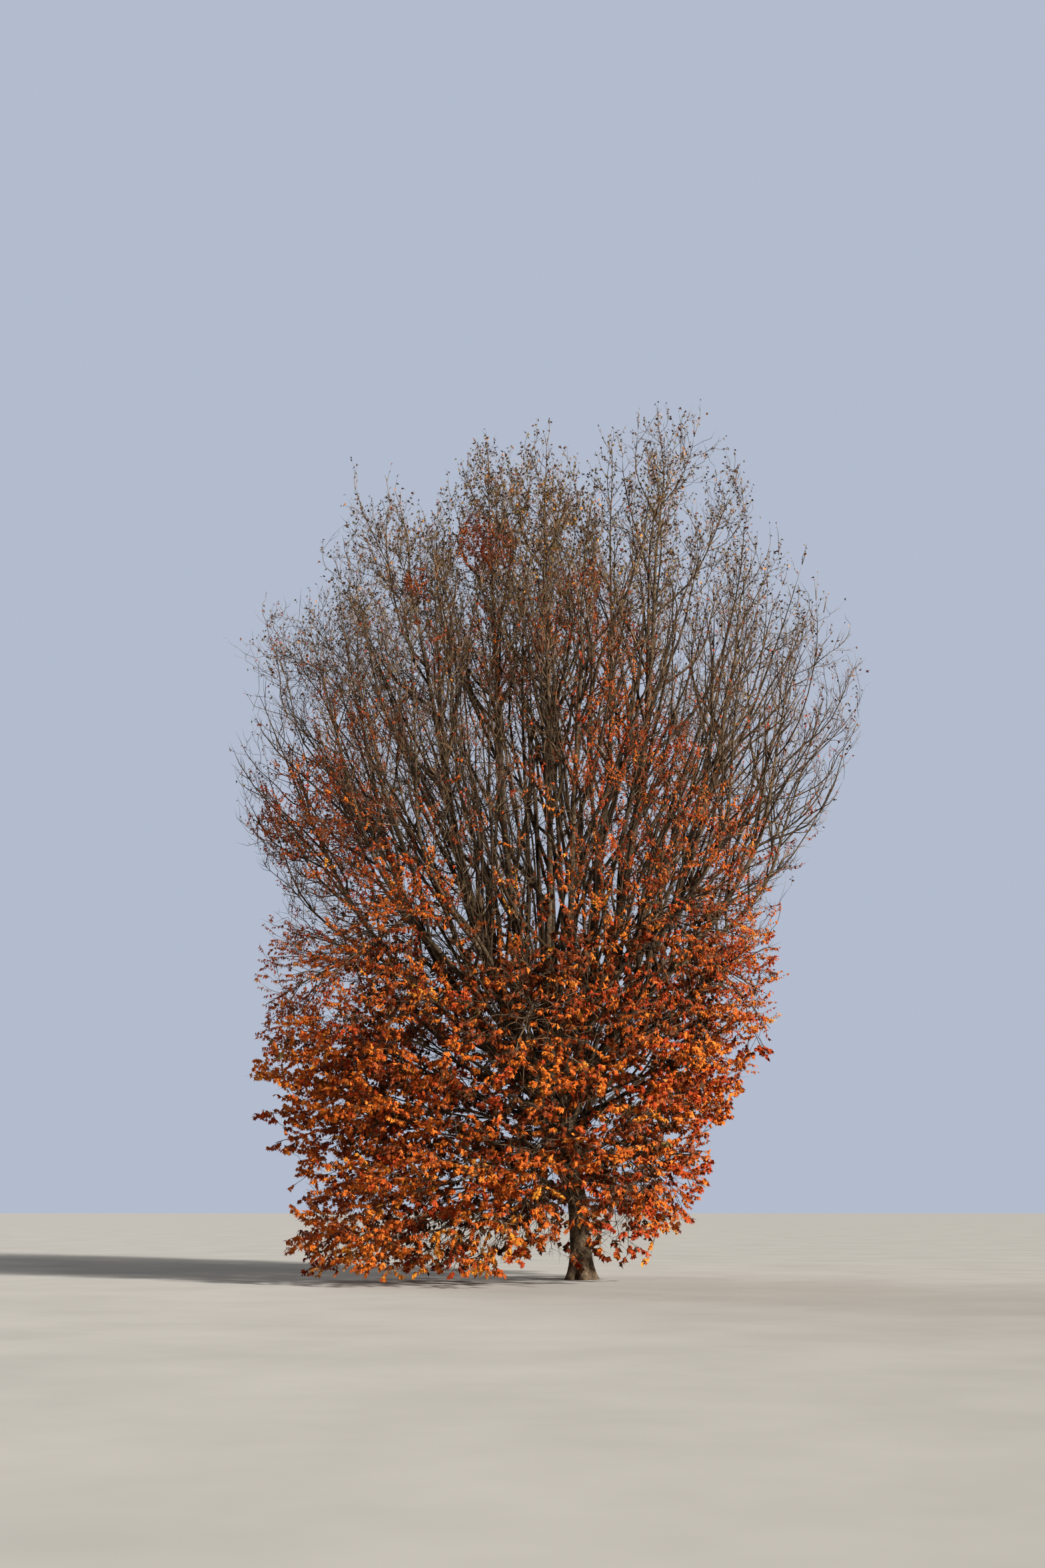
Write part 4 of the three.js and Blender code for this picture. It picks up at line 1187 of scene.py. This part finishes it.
def bough_mesh(name):
    pts, rad, u, cad_long = BOUGH[name]
    sides = 10
    rad = rad * (1 + 0.32 * np.exp(-u / 0.22))  # a collar where it leaves its parent
    a, b = ring_frames(pts[None])
    a, b = a[0], b[0]
    ang = np.arange(sides) * 2 * math.pi / sides
    ca, sa = np.cos(ang), np.sin(ang)
    k = list(BOUGHS).index(name)
    grid = np.stack(
        [
            np.broadcast_to(ca * 2.2 + 9 * k, (len(pts), sides)),
            np.broadcast_to(sa * 2.2, (len(pts), sides)),
            np.broadcast_to((u / 0.14)[:, None], (len(pts), sides)),
        ],
        -1,
    )
    r = rad[:, None] * (1 + bark_relief(grid, 0.075))
    v = pts[:, None, :] + (a[:, None, :] * ca[None, :, None] + b[:, None, :] * sa[None, :, None]) * r[..., None]
    n = len(pts)
    v = v.reshape(-1, 3)
    i, j = np.meshgrid(np.arange(n - 1), np.arange(sides), indexing="ij")
    p, q = i * sides + j, i * sides + (j + 1) % sides
    t = np.concatenate(
        [np.stack([p, q, q + sides], -1).reshape(-1, 3), np.stack([p, q + sides, p + sides], -1).reshape(-1, 3)]
    )
    end = len(v)
    tip = pts[-1] + unit(pts[-1] - pts[-2]) * 0.05
    v = np.vstack([v, tip[None], pts[:1]])
    k = np.arange(sides)
    top = (n - 1) * sides
    fan = np.stack([np.full(sides, end), top + k, top + (k + 1) % sides], -1)
    foot = np.stack([np.full(sides, end + 1), (k + 1) % sides, k], -1)
    return v, np.concatenate([t, fan, foot])


made = []


def piece(name, parts, material, flat=False, nodes=()):
    v, t = parts
    o = mesh_object(name, v, t, material, not flat)
    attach(o, "root")
    if nodes:
        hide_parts(*nodes)
    made.append((name, len(t)))
    return o


v, t = trunk_mesh()
v[:, 2] = np.maximum(v[:, 2], 0)
piece("trunk_bark", (v, t), BARK, nodes=["trunk"])
piece(
    "bough_bark", join([bough_mesh(n) for n in BOUGHS]), BARK,
    nodes=["bough_" + n for n in BOUGHS],
)  # fmt: skip

limb_parts = []
for path, r, up in limb_sets:
    limb_parts.append(tubes(path[None], r[None], 5))
limb_parts.append(tubes(branches_a[0], branches_a[1], 3))
piece("limbs", join(limb_parts), LIMB_BARK_AND_PAINTED_LIGHT)
piece("branches", tubes(branches_b[0], branches_b[1], 3), LIMB_BARK_AND_PAINTED_LIGHT)

spin = rng.uniform(0, 6.28, len(twig_pts))
for label, pick in (("upper", T_UP), ("lower", ~T_UP)):
    pick = np.where(pick)[0]
    half = -(-len(pick) // (1 + (7.2 * len(pick) > 190000)))
    for k in range(0, len(pick), half):
        part = pick[k : k + half]
        bent, straight = part[~T_STRAIGHT[part]], part[T_STRAIGHT[part]]
        made_from = [tubes(twig_pts[straight][:, [0, 2]], twig_rad[straight][:, [0, 2]], 3, spin[straight])]
        if len(bent):
            made_from.append(tubes(twig_pts[bent], twig_rad[bent], 3, spin[bent]))
        nodes = ["mass_" + n for n in (UPPER if label == "upper" else LEAFY)] if k == 0 else []
        piece(f"twigs_{label}_{k // half + 1}", join(made_from), TWIG_BARK_AND_PAINTED_LIGHT, nodes=nodes)

piece("spurs", tubes(spur_pts, spur_rad, 3), TWIG_BARK_AND_PAINTED_LIGHT)

# Each spray takes one tint, and a few of its leaves stray from it.
n_spray = spray_base
first_base = np.zeros((n_spray, 3))
first_base[spray] = base
x, z = first_base[:, 0], first_base[:, 2]
pull = noise(first_base * 0.8, 91)
up_there = smooth((z - 7) / 3)
weights = np.stack([
    (1.5 + 0.9 * pull) * (1 - 0.85 * up_there),                  # bright orange
    1.5 * (1 - 0.5 * up_there),                                  # deep orange
    0.55 + 0.06 * np.clip(z - 4, 0, 8) + 0.3 * (x > 0),           # orange red
    0.4 + 0.3 * np.clip(z - 5, 0, 8),                            # rust
    0.16 * (1 - up_there) + 0.6 * smooth((3 - z) / 3) * smooth((1 - x) / 4),  # gold
    0.12 + 0.12 * np.clip(z - 6, 0, 8),                          # brown
    0.02 + 0 * z,                                                # olive
    0.1 + 1.6 * up_there,                                        # dull orange
], 1)  # fmt: skip
weights = np.clip(weights, 0.01, None)
weights /= weights.sum(1, keepdims=True)
pick = (rng.random((n_spray, 1)) > np.cumsum(weights, 1)).sum(1).clip(0, len(TINT) - 1)
tint = pick[spray]
stray = rng.random(len(tint)) < 0.22 * (1 - 0.6 * smooth((base[:, 2] - 7) / 3))
shift = rng.integers(0, 4, len(tint))
tint = np.where(stray, shift, tint)
painted_shade = inner & (rng.random(len(tint)) < 0.75)  # most leaves deep inside take dark tints: painted shade
tint = np.where(painted_shade, rng.choice([3, 5, 2], len(tint), p=[0.35, 0.55, 0.1]), tint)
kinds = (
    (near & ~inner, LOBES), (~near & ~high & ~inner, MID_LOBES),
    (inner, INNER_LOBES), (high & ~inner, HIGH_LOBES),
)  # fmt: skip
dry_tint = rng.choice([5, 4, 6, 3], len(dry_leaves[0]), p=[0.55, 0.05, 0.35, 0.05])
low_down = rng.random(len(dry_tint)) < 0.65 * smooth((14.5 - dry_leaves[0][:, 2]) / 2)
dry_tint = np.where(low_down, rng.choice([3, 2, 5], len(dry_tint), p=[0.5, 0.2, 0.3]), dry_tint)
for k, label in enumerate(TINT):
    dark, light = TINTS[label]
    mat = base_material("leaf_" + label, dark, light, 7.0, 0.75, (60, 0.25, 0.002), 0.3, 2.0)
    mat.node_tree.nodes["Principled BSDF"].inputs["Specular IOR Level"].default_value = 0.15
    pick = np.where(tint == k)[0]
    for j in range(0, len(pick), 24000):
        part = pick[j : j + 24000]
        tail = "" if len(pick) <= 24000 else f"_{j // 24000 + 1}"
        shapes = []
        for chosen, lobes in kinds:
            some = part[chosen[part]]
            leaf = (a[some] for a in (base, way, face, size, fold, curl))
            shapes.append(leaf_meshes(*leaf, lobes=lobes))
        piece(
            "leaves_" + label + tail, join(shapes), mat, flat=True,
            nodes=["mass_" + n for n in LEAFY] if k == 0 and j == 0 else [],
        )  # fmt: skip

    pick = np.where(dry_tint == k)[0]
    if len(pick):
        large = dry_leaves[3][pick] > 0.082
        shapes = [
            leaf_meshes(*(a[some] for a in dry_leaves), lobes=lobes)
            for some, lobes in ((pick[large], DRY_LOBES), (pick[~large], SMALL_LOBES))
        ]
        piece("dry_leaves_" + label, join(shapes), mat, flat=True)

for name, count in made:
    print("piece", name, count)
print("triangles", sum(c for _, c in made))

# ------------------------------------------------------------------ the stage

ground = np.array([[-800, -500, -0.002], [800, -500, -0.002], [800, 1100, -0.002], [-800, 1100, -0.002]], float)
floor = mesh_object(
    "floor", ground, np.array([[0, 1, 2], [0, 2, 3]]),
    base_material("floor", srgb(172, 170, 165), srgb(182, 180, 175), 0.4, 0.95), False,
)  # fmt: skip
floor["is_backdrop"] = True

world = bpy.data.worlds.new("studio")
bpy.context.scene.world = world
world.use_nodes = True
sky = world.node_tree.nodes["Background"]
sky.inputs["Color"].default_value = (*srgb(178, 188, 206), 1)
sky.inputs["Strength"].default_value = 1.0
fill = world.node_tree.nodes.new("ShaderNodeBackground")
fill.inputs["Color"].default_value = (*srgb(178, 188, 206), 1)
fill.inputs["Strength"].default_value = 0.046
path = world.node_tree.nodes.new("ShaderNodeLightPath")
both = world.node_tree.nodes.new("ShaderNodeMixShader")
links = world.node_tree.links
links.new(path.outputs["Is Camera Ray"], both.inputs["Fac"])
links.new(fill.outputs["Background"], both.inputs[1])
links.new(sky.outputs["Background"], both.inputs[2])
links.new(both.outputs["Shader"], world.node_tree.nodes["World Output"].inputs["Surface"])

sun_data = bpy.data.lights.new("key", "SUN")
sun_data.energy = 7.1
sun_data.angle = math.radians(4)
sun_data.color = (1.0, 0.95, 0.88)
sun = bpy.data.objects.new("key", sun_data)
bpy.context.scene.collection.objects.link(sun)
toward = Vector((0.74, -0.60, 0.46)).normalized()
sun.rotation_mode = "QUATERNION"
sun.rotation_quaternion = (-toward).to_track_quat("-Z", "Y")
back_data = bpy.data.lights.new("back", "SUN")  # a soft light for the far side
back_data.energy = 1.3
back_data.angle = math.radians(40)
back = bpy.data.objects.new("back", back_data)
bpy.context.scene.collection.objects.link(back)
back.rotation_mode = "QUATERNION"
back.rotation_quaternion = (-Vector((-0.55, 0.7, 0.5))).to_track_quat("-Z", "Y")

camera_data = bpy.data.cameras.new("camera")
camera_data.lens = 38.2
camera_data.sensor_width = 36
camera_data.clip_end = 3000
camera = bpy.data.objects.new("camera", camera_data)
bpy.context.scene.collection.objects.link(camera)
camera.location = (-1.216, -36.2, 1.38)
camera.rotation_euler = (math.radians(104.4), 0, 0)
bpy.context.scene.camera = camera
bpy.context.scene.view_settings.view_transform = "Standard"

low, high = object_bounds()
print("cad", [round(c, 2) for c in (*cad_low, *cad_high)])
print("visual", [round(c, 2) for c in (*low, *high)])
